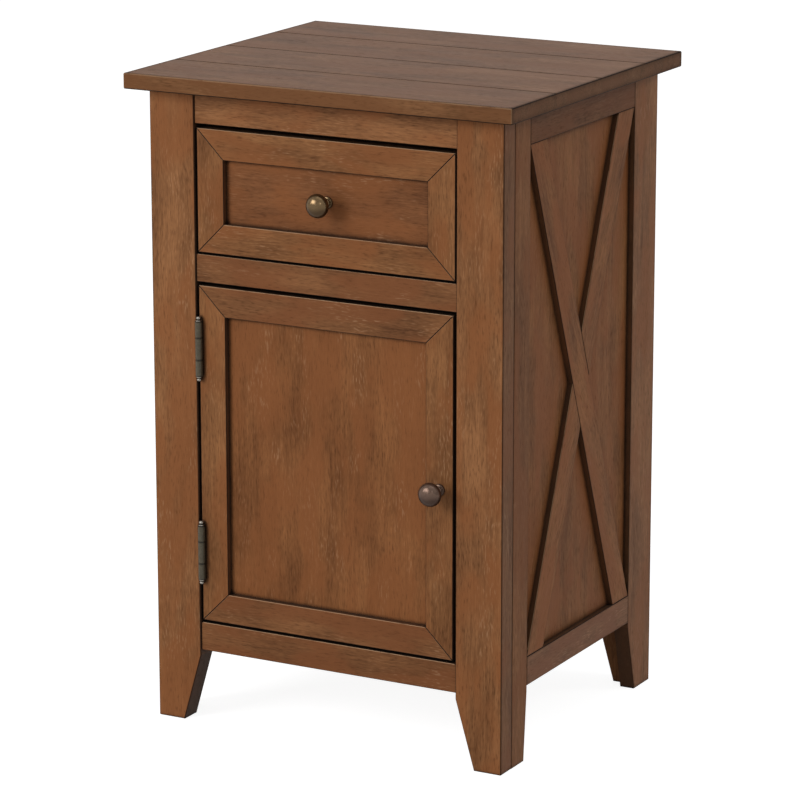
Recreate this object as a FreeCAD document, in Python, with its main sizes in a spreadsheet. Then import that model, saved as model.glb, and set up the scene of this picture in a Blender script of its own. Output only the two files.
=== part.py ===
"""Storage side table: a grooved top on four board legs, a drawer on telescopic slides and a door on butt hinges.

Millimetres. +Z is up, +X is the right side seen from the front, and the front faces -Y. The origin is on the floor,
under the middle of the whole object's box, knobs included.
"""
import FreeCAD, Part
import os
from types import SimpleNamespace

import Sketcher

SIZES = {
    # the whole table
    "overall_height": 711,
    "top_width": 457,
    "top_depth": 406,
    "top_thickness": 17,
    "overhang_side": 19,
    "overhang_front": 21,
    "overhang_back": 20,
    # grooves that divide the top into planks
    "groove_count": 3,
    "first_groove": 101,
    "groove_pitch": 106,
    "groove_width": 2.6,
    "groove_depth": 1.3,
    # legs: a wide face board with a side stile behind it
    "leg_face_width": 54,
    "leg_board_thickness": 25,
    "leg_taper": 22,
    "taper_height": 76,
    "side_frame_thickness": 17,
    "front_stile_width": 34.5,
    "front_stile_taper": 6.5,
    "rear_stile_width": 57.5,
    "rear_stile_taper": 19,
    # rails
    "floor_clearance": 82,
    "bottom_rail_height": 31.5,
    "mid_rail_height": 30,
    "top_rail_height": 34,
    "rail_recess": 2,
    "drawer_opening_height": 139.5,
    # side panels and their crossed braces
    "side_panel_recess": 6.5,
    "side_panel_thickness": 6,
    "rebate_width": 8,
    "rebate_clearance": 0.5,
    "brace_width": 39,
    "brace_thickness": 6,
    # boards inside
    "back_panel_thickness": 5,
    "floor_panel_thickness": 12,
    "divider_thickness": 12,
    "shelf_thickness": 12,
    "shelf_height": 296,
    "shelf_setback": 10,
    "shelf_clearance": 1,
    "shelf_pin_diameter": 5,
    "shelf_pin_reach": 8,
    "shelf_pin_depth": 12,
    "shelf_pin_inset": 18,
    "cleat_size": 20,
    # framed fronts of the door and the drawer
    "front_thickness": 19,
    "frame_width": 32,
    "panel_recess": 7,
    "panel_thickness": 6,
    "panel_groove_depth": 8,
    "panel_clearance": 1,
    "door_side_gap": 2.4,
    "door_latch_gap": 4.2,
    "door_top_gap": 4,
    "door_bottom_gap": 3,
    "drawer_side_gap": 2.3,
    "drawer_top_gap": 4.7,
    "drawer_bottom_gap": 2.2,
    # drawer box
    "box_side_thickness": 12,
    "box_back_thickness": 12,
    "box_height": 100,
    "box_depth": 303,
    "box_lift": 6.5,
    "box_bottom_thickness": 4,
    "box_bottom_lift": 10,
    "box_groove_depth": 6,
    # telescopic slides
    "slide_space": 12.7,
    "slide_length": 300,
    "slide_height": 35,
    "slide_sheet": 1.2,
    "slide_running_gap": 0.3,
    "slide_middle_offset": 3.4,
    "slide_lip_reach": 10,
    "slide_inner_reach": 6.7,
    "slide_drawer_setback": 1,
    "slide_mount_height": 50,
    # butt hinges
    "hinge_height": 60,
    "hinge_leaf_width": 16.6,
    "hinge_leaf_thickness": 1.1,
    "hinge_leaf_gap": 0.2,
    "hinge_middle_knuckle": 24,
    "hinge_knuckle_gap": 0.2,
    "hinge_barrel_radius": 3.8,
    "hinge_barrel_clearance": 0.3,
    "hinge_face_clearance": 0.4,
    "hinge_axis_inset": 1.8,
    "hinge_tab_start": 0.6,
    "hinge_pin_radius": 1.6,
    "hinge_pin_clearance": 0.05,
    "hinge_finial_radius": 3.6,
    "hinge_finial_height": 5.6,
    "hinge_top_distance": 68,
    "hinge_bottom_distance": 77,
    "hinge_screw_radius": 1.4,
    "hinge_screw_head_radius": 2.6,
    "hinge_screw_length": 14,
    "hinge_screw_end_distance": 9,
    "hinge_screw_outer_row": 11,
    "hinge_screw_inner_row": 5,
    # knobs
    "knob_diameter": 25.8,
    "knob_projection": 30,
    "door_knob_drop": 1.5,
    "knob_head_thickness": 15,
    "knob_base_diameter": 14,
    "knob_base_thickness": 2,
    "knob_waist_diameter": 9,
    "knob_screw_diameter": 4,
    "knob_screw_engagement": 10,
    "screw_head_diameter": 8,
    "screw_head_thickness": 2.4,
    "screw_hole_clearance": 0.05,
    # screws that hold the top
    "top_screw_engagement": 12,
    "top_screw_inset": 45,
    # magnetic catch
    "catch_height": 30,
    "catch_width": 34,
    "catch_depth": 13,
    "catch_magnet_width": 14,
    "catch_magnet_gap": 0.3,
    "catch_overlap": 16,
    "catch_top_distance": 30,
    "strike_thickness": 1,
    # rounding of the wooden edges
    "top_arris": 1.6,
    "leg_arris": 1.2,
    "board_arris": 0.8,
}

AXES = {"XY": ("XY_Plane", 1), "XZ": ("XZ_Plane", -1), "YZ": ("YZ_Plane", 1)}
UPRIGHT = FreeCAD.Rotation()
ABOUT_X = FreeCAD.Vector(1, 0, 0)
ABOUT_Y = FreeCAD.Vector(0, 1, 0)
SIDES = {"left": -1, "right": 1}
TOUCHING = 1e-6

doc = FreeCAD.newDocument("storage_side_table")
nodes = []


class Dim:
    """A length with its value and the spreadsheet formula that it stands for."""

    def __init__(self, value, formula):
        self.value = float(value)
        self.formula = formula

    def __add__(self, other):
        other = as_dim(other)
        return Dim(self.value + other.value, f"({self.formula} + {other.formula})")

    def __sub__(self, other):
        other = as_dim(other)
        return Dim(self.value - other.value, f"({self.formula} - {other.formula})")

    def __mul__(self, other):
        other = as_dim(other)
        return Dim(self.value * other.value, f"({self.formula} * {other.formula})")

    def __truediv__(self, other):
        other = as_dim(other)
        return Dim(self.value / other.value, f"({self.formula} / {other.formula})")

    def __neg__(self):
        return Dim(-self.value, f"(0 - {self.formula})")


def as_dim(number):
    """A Dim as it is, and a plain number as a Dim."""
    return number if isinstance(number, Dim) else Dim(number, repr(float(number)))


def read_sizes():
    """Writes SIZES to the spreadsheet and returns one Dim for each of its aliases."""
    sheet = doc.addObject("Spreadsheet::Sheet", "Sizes")
    for row, (name, value) in enumerate(SIZES.items(), start=1):
        sheet.set(f"A{row}", name)
        sheet.set(f"B{row}", str(value))
        sheet.setAlias(f"B{row}", name)
    doc.recompute()
    return SimpleNamespace(**{name: Dim(sheet.get(name), f"Sizes.{name}") for name in SIZES})


def bind(thing, path, dim):
    """Ties one property of a document object to the spreadsheet."""
    thing.setExpression(path, as_dim(dim).formula)


def place(thing, x, y, z, turn=UPRIGHT):
    """Puts an object at a point that follows the spreadsheet."""
    thing.Placement = FreeCAD.Placement(FreeCAD.Vector(0, 0, 0), turn)
    for axis, dim in zip("xyz", (x, y, z)):
        bind(thing, f"Placement.Base.{axis}", dim)
    return thing


def keep(thing, label):
    """Gives an object its label and lists it as a node of its own."""
    thing.Label = label
    nodes.append(thing)
    return thing


class Piece:
    """A PartDesign body that is built up from sketches on its own origin planes."""

    def __init__(self, label):
        self.label = label
        self.body = doc.addObject("PartDesign::Body", label)

    def sketch(self, plane, depth=0):
        """A sketch on an origin plane, moved along that plane's axis by depth."""
        role, sign = AXES[plane]
        made = self.body.newObject("Sketcher::SketchObject", f"{self.label}_sketch")
        origin_plane = next(f for f in self.body.Origin.OriginFeatures if f.Role == role)
        made.AttachmentSupport = [(origin_plane, "")]
        made.MapMode = "FlatFace"
        bind(made, "AttachmentOffset.Base.z", as_dim(depth) * sign)
        return made

    def pad(self, plane, outline, length):
        """Adds the outline, drawn out along the positive axis."""
        profile = self.sketch(plane)
        draw_outline(profile, outline)
        feature = self.body.newObject("PartDesign::Pad", f"{self.label}_pad")
        feature.Profile = profile
        bind(feature, "Length", length)
        feature.Reversed = AXES[plane][1] < 0
        return self

    def cut(self, plane, draw, depth, start=0, toward=1):
        """Takes away what draw puts in a sketch at start, along the axis in the direction toward."""
        before = self.volume()
        profile = self.sketch(plane, start)
        draw(profile)
        feature = self.body.newObject("PartDesign::Pocket", f"{self.label}_pocket")
        feature.Profile = profile
        feature.Reversed = toward == AXES[plane][1]
        bind(feature, "Length", depth)
        if self.volume() > before - TOUCHING:
            raise RuntimeError(f"a pocket of {self.label} takes nothing away")
        return self

    def ease(self, radius, *planes):
        """Rounds the edges that lie in each given plane, such as ("y", 0)."""
        doc.recompute()
        base = self.body.Tip
        names = []
        for number, edge in enumerate(base.Shape.Edges, start=1):
            for axis, level in planes:
                gaps = [abs(getattr(vertex.Point, axis) - as_dim(level).value) for vertex in edge.Vertexes]
                if max(gaps) < TOUCHING:
                    names.append(f"Edge{number}")
                    break
        feature = self.body.newObject("PartDesign::Fillet", f"{self.label}_fillet")
        feature.Base = (base, names)
        bind(feature, "Radius", radius)
        return self

    def volume(self):
        """The volume of the body as it stands."""
        doc.recompute()
        return self.body.Shape.Volume

    def at(self, x, y, z, turn=UPRIGHT):
        """Places the body."""
        place(self.body, x, y, z, turn)
        return self

    def node(self):
        """Lists the body as a node named after its label."""
        return keep(self.body, self.label)


def fix_point(sketch, geometry, corner, x, y):
    """Holds one point of a sketch at a distance from the sketch's origin along both axes."""
    for kind, upright_axis, dim in (("DistanceX", -2, as_dim(x)), ("DistanceY", -1, as_dim(y))):
        if dim.value == 0:
            sketch.addConstraint(Sketcher.Constraint("PointOnObject", geometry, corner, upright_axis))
            continue
        number = sketch.addConstraint(Sketcher.Constraint(kind, -1, 1, geometry, corner, dim.value))
        bind(sketch, f"Constraints[{number}]", dim)


def draw_outline(sketch, outline):
    """Draws a closed outline of straight lines through points given as pairs of lengths."""
    points = [FreeCAD.Vector(as_dim(x).value, as_dim(y).value, 0) for x, y in outline]
    first = sketch.GeometryCount
    count = len(points)
    for index, point in enumerate(points):
        sketch.addGeometry(Part.LineSegment(point, points[(index + 1) % count]))
    for index in range(count):
        following = first + (index + 1) % count
        sketch.addConstraint(Sketcher.Constraint("Coincident", first + index, 2, following, 1))
    for index, (x, y) in enumerate(outline):
        fix_point(sketch, first + index, 1, x, y)


def draw_circles(sketch, centres, radius):
    """Draws equal circles about centres given as pairs of lengths."""
    normal = FreeCAD.Vector(0, 0, 1)
    for x, y in centres:
        centre = FreeCAD.Vector(as_dim(x).value, as_dim(y).value, 0)
        circle = sketch.addGeometry(Part.Circle(centre, normal, radius.value))
        fix_point(sketch, circle, 3, x, y)
        number = sketch.addConstraint(Sketcher.Constraint("Radius", circle, radius.value))
        bind(sketch, f"Constraints[{number}]", radius)


def lines(outline):
    """A drawing function for Piece.cut that draws one outline."""
    return lambda sketch: draw_outline(sketch, outline)


def circles(centres, radius):
    """A drawing function for Piece.cut that draws round holes."""
    return lambda sketch: draw_circles(sketch, centres, radius)


def rectangle(x0, y0, x1, y1):
    """The four corners between two opposite ones."""
    return [(x0, y0), (x1, y0), (x1, y1), (x0, y1)]


def flipped(outline, width):
    """The outline as seen from the other side of a piece of that width."""
    return [(width - x, y) for x, y in outline]


def board(label, length, depth, height):
    """A square-edged board along X, Y and Z as a body."""
    return Piece(label).pad("XY", rectangle(0, 0, length, depth), height)


def primitive(kind, name, x, y, z, turn=UPRIGHT, **lengths):
    """A Part primitive whose sizes and place follow the spreadsheet."""
    made = doc.addObject(f"Part::{kind}", name)
    for size_name, dim in lengths.items():
        bind(made, size_name, dim)
    return place(made, x, y, z, turn)


def fuse(name, pieces):
    """One solid out of several primitives that overlap."""
    made = doc.addObject("Part::MultiFuse", name)
    made.Shapes = pieces
    return made


def cut_away(name, base, tools):
    """The base with all the tools taken out of it."""
    for number, tool in enumerate(tools, start=1):
        made = doc.addObject("Part::Cut", f"{name}_cut_{number}")
        made.Base = base
        made.Tool = tool
        base = made
    return base


def group(label, members):
    """Several separate solids of the same kind as one node."""
    made = doc.addObject("Part::Compound", label)
    made.Links = members
    return keep(made, label)


s = read_sizes()

# levels above the floor
leg_height = s.overall_height - s.top_thickness
bottom_rail_top = s.floor_clearance + s.bottom_rail_height
top_rail_z = leg_height - s.top_rail_height
drawer_opening_z = top_rail_z - s.drawer_opening_height
mid_rail_z = drawer_opening_z - s.mid_rail_height

# planes across the width
half_base = s.top_width / 2 - s.overhang_side
opening_half = half_base - s.leg_face_width
side_inner_x = half_base - s.side_frame_thickness
opening_width = opening_half * 2
inner_width = side_inner_x * 2

# planes through the depth, from the legs' front faces to the back
base_depth = s.top_depth - s.overhang_front - s.overhang_back
whole_depth = base_depth + s.overhang_back + s.knob_projection - s.rail_recess
front_y = s.knob_projection - s.rail_recess - whole_depth / 2
back_y = front_y + base_depth
face_y = front_y + s.rail_recess
inner_front_y = front_y + s.leg_board_thickness
inner_back_y = back_y - s.leg_board_thickness
back_panel_y = inner_back_y - s.back_panel_thickness
inner_depth = back_panel_y - inner_front_y
rail_thickness = s.leg_board_thickness - s.rail_recess

# the openings that the two framed fronts fill
front_back_y = face_y + s.front_thickness
door_width = opening_width - s.door_side_gap - s.door_latch_gap
door_x = s.door_side_gap - opening_half
door_z = bottom_rail_top + s.door_bottom_gap
door_top_z = mid_rail_z - s.door_top_gap
drawer_width = opening_width - s.drawer_side_gap * 2
drawer_z = drawer_opening_z + s.drawer_bottom_gap
drawer_top_z = top_rail_z - s.drawer_top_gap

# the hinge axis, just in front of the door's face and its left edge; the leaves lie in the gap beside the door
hinge_x = s.door_side_gap + s.hinge_axis_inset - opening_half
hinge_y = face_y - s.hinge_face_clearance - s.hinge_barrel_radius
gap_x = -s.hinge_axis_inset - s.door_side_gap / 2
hinge_levels = {
    "upper": door_top_z - s.hinge_top_distance - s.hinge_height / 2,
    "lower": door_z + s.hinge_bottom_distance - s.hinge_height / 2,
}
leaf_start = s.hinge_barrel_radius + s.hinge_barrel_clearance
leaf_inner = s.hinge_leaf_gap / 2
leaf_outer = leaf_inner + s.hinge_leaf_thickness
hinge_screw_spots = [
    (s.hinge_screw_outer_row, s.hinge_screw_end_distance),
    (s.hinge_screw_inner_row, s.hinge_height / 2),
    (s.hinge_screw_outer_row, s.hinge_height - s.hinge_screw_end_distance),
]
hinge_hole_radius = s.hinge_screw_radius + s.screw_hole_clearance

# the slides, and the screws that hold the top
slide_z = drawer_opening_z + s.box_lift + s.box_height / 2
top_screw_radius = s.knob_screw_diameter / 2
screw_hole_radius = top_screw_radius + s.screw_hole_clearance
top_screw_rows = [s.top_screw_inset, inner_depth - s.top_screw_inset]
cleat_middle = s.cleat_size / 2

# the pins that carry the shelf
shelf_pin_radius = s.shelf_pin_diameter / 2
shelf_pin_z = s.shelf_height - shelf_pin_radius


def make_top():
    """The top board with its grooves, and blind holes below for the screws that hold it."""
    top = board("top_panel", s.top_width, s.top_depth, s.top_thickness)
    faces = [("x", 0), ("x", s.top_width), ("y", 0), ("y", s.top_depth), ("z", 0), ("z", s.top_thickness)]
    top.ease(s.top_arris, *faces)
    for number in range(int(s.groove_count.value)):
        middle = s.first_groove + s.groove_pitch * number
        groove = [
            (middle - s.groove_width / 2, s.top_thickness),
            (middle, s.top_thickness - s.groove_depth),
            (middle + s.groove_width / 2, s.top_thickness),
        ]
        top.cut("YZ", lines(groove), s.top_width)
    start_y = s.overhang_front + s.leg_board_thickness
    cleat_x = s.overhang_side + s.side_frame_thickness + cleat_middle
    centres = [(x, start_y + row) for x in (cleat_x, s.top_width - cleat_x) for row in top_screw_rows]
    top.cut("XY", circles(centres, screw_hole_radius), s.top_screw_engagement)
    top.at(-s.top_width / 2, front_y - s.overhang_front, leg_height).node()


def leg_outline(width, taper):
    """A leg board's face, for the right-hand leg: its inner edge tapers towards the foot."""
    return [(taper, 0), (width, 0), (width, leg_height), (0, leg_height), (0, s.taper_height)]


def make_front_leg(side):
    """The wide board at the front of a leg. The left one is drilled for the hinge screws."""
    outline = leg_outline(s.leg_face_width, s.leg_taper)
    if side == "left":
        outline = flipped(outline, s.leg_face_width)
    leg = Piece(f"front_leg_{side}").pad("XZ", outline, s.leg_board_thickness)
    leg.ease(s.leg_arris, ("y", 0), ("x", 0 if side == "left" else s.leg_face_width))
    if side == "left":
        hole_y = hinge_y + leaf_start - front_y
        centres = [(hole_y + y, z + level) for level in hinge_levels.values() for y, z in hinge_screw_spots]
        depth = s.hinge_screw_length + s.screw_hole_clearance
        leg.cut("YZ", circles(centres, hinge_hole_radius), depth, start=s.leg_face_width, toward=-1)
    leg.at(-half_base if side == "left" else opening_half, front_y, 0).node()


def side_x(side, inset=0, thickness=0):
    """Where a piece of the side frame starts along X, from how far its outer face lies inside the leg's."""
    outer = half_base - inset
    return -outer if side == "left" else outer - thickness


def make_side_frame(side):
    """Two stiles and two rails, rebated inside for the side panel, with the crossed braces on the panel."""
    sign = SIDES[side]
    thick = s.side_frame_thickness
    outer_level = 0 if side == "left" else thick
    inner_level = thick if side == "left" else 0
    rebate = thick - s.side_panel_recess
    front_stile_end = s.front_stile_width - s.front_stile_taper
    stiles = {
        "front": (s.front_stile_width, s.front_stile_width - s.rebate_width, inner_front_y, [
            (0, 0), (front_stile_end, 0), (s.front_stile_width, s.taper_height),
            (s.front_stile_width, leg_height), (0, leg_height)]),
        "rear": (s.rear_stile_width, as_dim(0), back_y - s.rear_stile_width, [
            (s.rear_stile_taper, 0), (s.rear_stile_width, 0), (s.rear_stile_width, leg_height),
            (0, leg_height), (0, s.taper_height)]),
    }
    for name, (width, rebate_start, y, outline) in stiles.items():
        stile = Piece(f"side_stile_{name}_{side}").pad("YZ", outline, thick)
        stile.ease(s.board_arris, ("x", outer_level))
        strip = rectangle(rebate_start, s.floor_clearance, rebate_start + s.rebate_width, leg_height)
        stile.cut("YZ", lines(strip), rebate, start=inner_level, toward=sign)
        pin_y = s.shelf_pin_inset if name == "front" else width - s.leg_board_thickness - s.shelf_pin_inset
        hole = circles([(pin_y, shelf_pin_z)], shelf_pin_radius + s.screw_hole_clearance)
        stile.cut("YZ", hole, s.shelf_pin_depth, start=inner_level, toward=sign)
        stile.at(side_x(side, 0, thick), y, 0).node()

    rail_y = inner_front_y + s.front_stile_width
    rail_length = back_y - s.rear_stile_width - rail_y
    rails = {
        "top": (top_rail_z, s.top_rail_height, as_dim(0)),
        "bottom": (s.floor_clearance, s.bottom_rail_height, s.bottom_rail_height - s.rebate_width),
    }
    for name, (z, height, rebate_start) in rails.items():
        rail = board(f"side_{name}_rail_{side}", thick, rail_length, height)
        rail.ease(s.board_arris, ("x", outer_level))
        strip = rectangle(0, rebate_start, rail_length, rebate_start + s.rebate_width)
        rail.cut("YZ", lines(strip), rebate, start=inner_level, toward=sign)
        rail.at(side_x(side, 0, thick), rail_y, z).node()

    lap = s.rebate_width - s.rebate_clearance
    opening_height = top_rail_z - bottom_rail_top
    panel = board(f"side_panel_{side}", s.side_panel_thickness, rail_length + lap * 2, opening_height + lap * 2)
    panel_x = side_x(side, s.side_panel_recess, s.side_panel_thickness)
    panel.at(panel_x, rail_y - lap, bottom_rail_top - lap).node()

    brace_x = side_x(side, s.side_panel_recess - s.brace_thickness, s.brace_thickness)
    brace_face = 0 if side == "left" else s.brace_thickness
    run = rail_length - s.brace_width
    half_rise = opening_height / 2
    upper_meet = opening_height * rail_length / (run * 2)
    lower_meet = opening_height - upper_meet
    outlines = {
        "long": [(0, opening_height), (run, 0), (rail_length, 0), (s.brace_width, opening_height)],
        "upper": [(run, opening_height), (rail_length / 2, upper_meet),
                  (run / 2 + s.brace_width, half_rise), (rail_length, opening_height)],
        "lower": [(0, 0), (s.brace_width, 0), (rail_length / 2, lower_meet), (run / 2, half_rise)],
    }
    braces = {}
    for name, outline in outlines.items():
        brace = Piece(f"brace_{name}_{side}").pad("YZ", outline, s.brace_thickness)
        brace.ease(s.board_arris, ("x", brace_face))
        braces[name] = brace.at(brace_x, rail_y, bottom_rail_top)
    braces["long"].node()
    group(f"brace_short_{side}", [braces["upper"].body, braces["lower"].body])


def make_front_rails():
    """The three rails between the front legs."""
    rails = {
        "front_top_rail": (top_rail_z, s.top_rail_height),
        "front_mid_rail": (mid_rail_z, s.mid_rail_height),
        "front_bottom_rail": (s.floor_clearance, s.bottom_rail_height),
    }
    for label, (z, height) in rails.items():
        rail = board(label, opening_width, rail_thickness, height).ease(s.board_arris, ("y", 0))
        rail.at(-opening_half, face_y, z).node()


def make_back():
    """The back legs' inner boards, the back rails and the thin back panel."""
    width = s.leg_face_width - s.side_frame_thickness
    for side in SIDES:
        outline = leg_outline(width, s.leg_taper)
        if side == "left":
            outline = flipped(outline, width)
        leg = Piece(f"back_leg_board_{side}").pad("XZ", outline, s.leg_board_thickness)
        leg.ease(s.board_arris, ("y", s.leg_board_thickness))
        leg.at(-side_inner_x if side == "left" else opening_half, inner_back_y, 0).node()
    rails = {
        "back_top_rail": (top_rail_z, s.top_rail_height),
        "back_bottom_rail": (s.floor_clearance, s.bottom_rail_height),
    }
    for label, (z, height) in rails.items():
        rail = board(label, opening_width, rail_thickness, height).ease(s.board_arris, ("y", rail_thickness))
        rail.at(-opening_half, inner_back_y, z).node()
    panel_z = bottom_rail_top - s.floor_panel_thickness
    board("back_panel", inner_width, s.back_panel_thickness, leg_height - panel_z).at(
        -side_inner_x, back_panel_y, panel_z).node()


def make_inside():
    """The floor, the divider under the drawer, the shelf on its pins, the cleats and the slides' mounts."""
    board("floor_panel", inner_width, inner_depth, s.floor_panel_thickness).at(
        -side_inner_x, inner_front_y, bottom_rail_top - s.floor_panel_thickness).node()
    board("divider_panel", inner_width, inner_depth, s.divider_thickness).at(
        -side_inner_x, inner_front_y, drawer_opening_z - s.divider_thickness).node()
    shelf_width = inner_width - s.shelf_clearance * 2
    shelf_depth = inner_depth - s.shelf_setback - s.shelf_clearance
    shelf = board("shelf", shelf_width, shelf_depth, s.shelf_thickness).ease(s.board_arris, ("y", 0))
    shelf.at(s.shelf_clearance - side_inner_x, inner_front_y + s.shelf_setback, s.shelf_height).node()

    pins = []
    for side, sign in SIDES.items():
        for y in (inner_front_y + s.shelf_pin_inset, inner_back_y - s.shelf_pin_inset):
            x = (side_inner_x - s.shelf_pin_reach) * sign
            turn = FreeCAD.Rotation(ABOUT_Y, 90 * sign)
            length = s.shelf_pin_reach + s.shelf_pin_depth - s.screw_hole_clearance
            pins.append(primitive("Cylinder", f"shelf_pin_{side}", x, y, shelf_pin_z, turn,
                                  Radius=shelf_pin_radius, Height=length))
    group("shelf_pins", pins)

    cleats = []
    screws = []
    for side, sign in SIDES.items():
        cleat = board(f"top_cleat_{side}", s.cleat_size, inner_depth, s.cleat_size)
        centres = [(cleat_middle, row) for row in top_screw_rows]
        cleat.cut("XY", circles(centres, screw_hole_radius), s.cleat_size)
        x = -side_inner_x if side == "left" else side_inner_x - s.cleat_size
        cleat.at(x, inner_front_y, leg_height - s.cleat_size)
        cleats.append(cleat.body)
        for row in top_screw_rows:
            length = s.cleat_size + s.top_screw_engagement - s.screw_hole_clearance
            at = (x + cleat_middle, inner_front_y + row, leg_height - s.cleat_size)
            screws.append(pan_screw(f"top_screw_{side}", at, UPRIGHT, length))
    group("top_cleats", cleats)
    group("top_screws", screws)

    mounts = []
    mount_width = side_inner_x - opening_half
    for side in SIDES:
        mount = board(f"slide_mount_{side}", mount_width, inner_depth, s.slide_mount_height)
        x = -side_inner_x if side == "left" else opening_half
        mounts.append(mount.at(x, inner_front_y, slide_z - s.slide_mount_height / 2).body)
    group("slide_mounts", mounts)


def pan_screw(name, under_head, turn, length):
    """A pan-head screw whose shank runs along +Z from under its head, before it is turned."""
    shank = primitive("Cylinder", f"{name}_shank", 0, 0, 0, Radius=top_screw_radius, Height=length)
    head = primitive("Cylinder", f"{name}_head", 0, 0, -s.screw_head_thickness,
                     Radius=s.screw_head_diameter / 2, Height=s.screw_head_thickness)
    return place(fuse(name, [shank, head]), *under_head, turn)


def channel(web_x, lip_x, half_height, inward):
    """A C-shaped section: its web stands at web_x, and its lips reach lip_x."""
    sheet = s.slide_sheet
    web_inside = web_x - sheet if inward else web_x + sheet
    return [
        (web_x, s.slide_height / 2 - half_height), (lip_x, s.slide_height / 2 - half_height),
        (lip_x, s.slide_height / 2 - half_height + sheet), (web_inside, s.slide_height / 2 - half_height + sheet),
        (web_inside, s.slide_height / 2 + half_height - sheet), (lip_x, s.slide_height / 2 + half_height - sheet),
        (lip_x, s.slide_height / 2 + half_height), (web_x, s.slide_height / 2 + half_height),
    ]


def make_slides():
    """Three nested channels on each side: one on the mount, one on the drawer and one between them."""
    half = s.slide_height / 2
    step = s.slide_sheet + s.slide_running_gap
    lip = s.slide_space - s.slide_lip_reach
    members = {
        "slide_cabinet_members": (channel(s.slide_space, lip, half, True), inner_front_y),
        "slide_middle_members": (
            channel(s.slide_space - s.slide_middle_offset, lip, half - step, True), inner_front_y),
        "slide_drawer_members": (
            channel(as_dim(0), s.slide_inner_reach, half - step * 2, False), front_back_y + s.slide_drawer_setback),
    }
    for label, (section, y) in members.items():
        pair = []
        for side in SIDES:
            outline = flipped(section, s.slide_space) if side == "left" else section
            member = Piece(f"{label}_{side}").pad("XZ", outline, s.slide_length)
            x = -opening_half if side == "left" else opening_half - s.slide_space
            pair.append(member.at(x, y, slide_z - half).body)
        group(label, pair)


def make_front(name, width, height, x, z):
    """Four mitred pieces round a recessed panel. Each piece lies along its own X, with its outer edge at Z 0."""
    turns = {
        "bottom": (width, (x, z), 0),
        "right": (height, (x + width, z), -90),
        "top": (width, (x + width, z + height), 180),
        "left": (height, (x, z + height), 90),
    }
    wide = s.frame_width
    groove = rectangle(s.panel_recess, wide - s.panel_groove_depth, s.panel_recess + s.panel_thickness, wide)
    pieces = {}
    for edge, (length, (at_x, at_z), degrees) in turns.items():
        outline = [(0, 0), (length, 0), (length - wide, wide), (wide, wide)]
        piece = Piece(f"{name}_frame_{edge}").pad("XZ", outline, s.front_thickness)
        piece.ease(s.board_arris, ("y", 0))
        piece.cut("YZ", lines(groove), length)
        piece.at(at_x, face_y, at_z, FreeCAD.Rotation(ABOUT_Y, degrees)).node()
        pieces[edge] = piece
    inset = wide - s.panel_groove_depth + s.panel_clearance
    panel = board(f"{name}_panel", width - inset * 2, s.panel_thickness, height - inset * 2)
    panel.at(x + inset, face_y + s.panel_recess, z + inset).node()
    pieces["panel"] = panel
    return pieces


def make_knob(name, x, y, z, plate):
    """A mushroom knob on a face at y, and the screw that holds it through a plate of wood behind that face."""
    to_front = FreeCAD.Rotation(ABOUT_X, 90)
    head_middle = s.knob_projection - s.knob_head_thickness / 2
    base = primitive("Cylinder", f"{name}_base", 0, 0, 0,
                     Radius=s.knob_base_diameter / 2, Height=s.knob_base_thickness)
    neck = primitive("Cone", f"{name}_neck", 0, 0, s.knob_base_thickness,
                     Radius1=s.knob_base_diameter / 2 - s.knob_base_thickness / 2,
                     Radius2=s.knob_waist_diameter / 2,
                     Height=head_middle - s.knob_base_thickness)
    head = primitive("Ellipsoid", f"{name}_head", 0, 0, head_middle,
                     Radius1=s.knob_head_thickness / 2, Radius2=s.knob_diameter / 2, Radius3=s.knob_diameter / 2)
    thread = primitive("Cylinder", f"{name}_thread", 0, 0, 0,
                       Radius=screw_hole_radius, Height=s.knob_screw_engagement + s.screw_hole_clearance)
    knob = cut_away(name, fuse(f"{name}_solid", [base, neck, head]), [thread])
    keep(place(knob, x, y, z, to_front), name)
    screw = pan_screw(f"{name}_screw", (x, y + plate, z), to_front, plate + s.knob_screw_engagement)
    keep(screw, f"{name}_screw")


def make_drawer():
    """The drawer: its framed front, two sides, a back and a thin bottom that runs in grooves."""
    x = -drawer_width / 2
    front = make_front("drawer", drawer_width, drawer_top_z - drawer_z, x, drawer_z)
    middle_z = (drawer_z + drawer_top_z) / 2
    inset = s.frame_width - s.panel_groove_depth + s.panel_clearance
    hole = circles([(drawer_width / 2 - inset, middle_z - drawer_z - inset)], screw_hole_radius)
    front["panel"].cut("XZ", hole, s.panel_thickness)
    make_knob("drawer_knob", as_dim(0), face_y + s.panel_recess, middle_z, s.panel_thickness)

    box_z = drawer_opening_z + s.box_lift
    box_half = opening_half - s.slide_space
    groove = rectangle(0, s.box_bottom_lift, s.box_depth, s.box_bottom_lift + s.box_bottom_thickness)
    for side in SIDES:
        wall = board(f"drawer_side_{side}", s.box_side_thickness, s.box_depth, s.box_height)
        wall.ease(s.board_arris, ("z", s.box_height))
        start = s.box_side_thickness if side == "left" else 0
        wall.cut("YZ", lines(groove), s.box_groove_depth, start=start, toward=SIDES[side])
        wall.at(-box_half if side == "left" else box_half - s.box_side_thickness, front_back_y, box_z).node()
    inner_half = box_half - s.box_side_thickness
    back_lift = s.box_bottom_lift + s.box_bottom_thickness
    back = board("drawer_back", inner_half * 2, s.box_back_thickness, s.box_height - back_lift)
    back.at(-inner_half, front_back_y + s.box_depth - s.box_back_thickness, box_z + back_lift).node()
    bottom_half = inner_half + s.box_groove_depth
    board("drawer_bottom", bottom_half * 2, s.box_depth, s.box_bottom_thickness).at(
        -bottom_half, front_back_y, box_z + s.box_bottom_lift).node()


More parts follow.
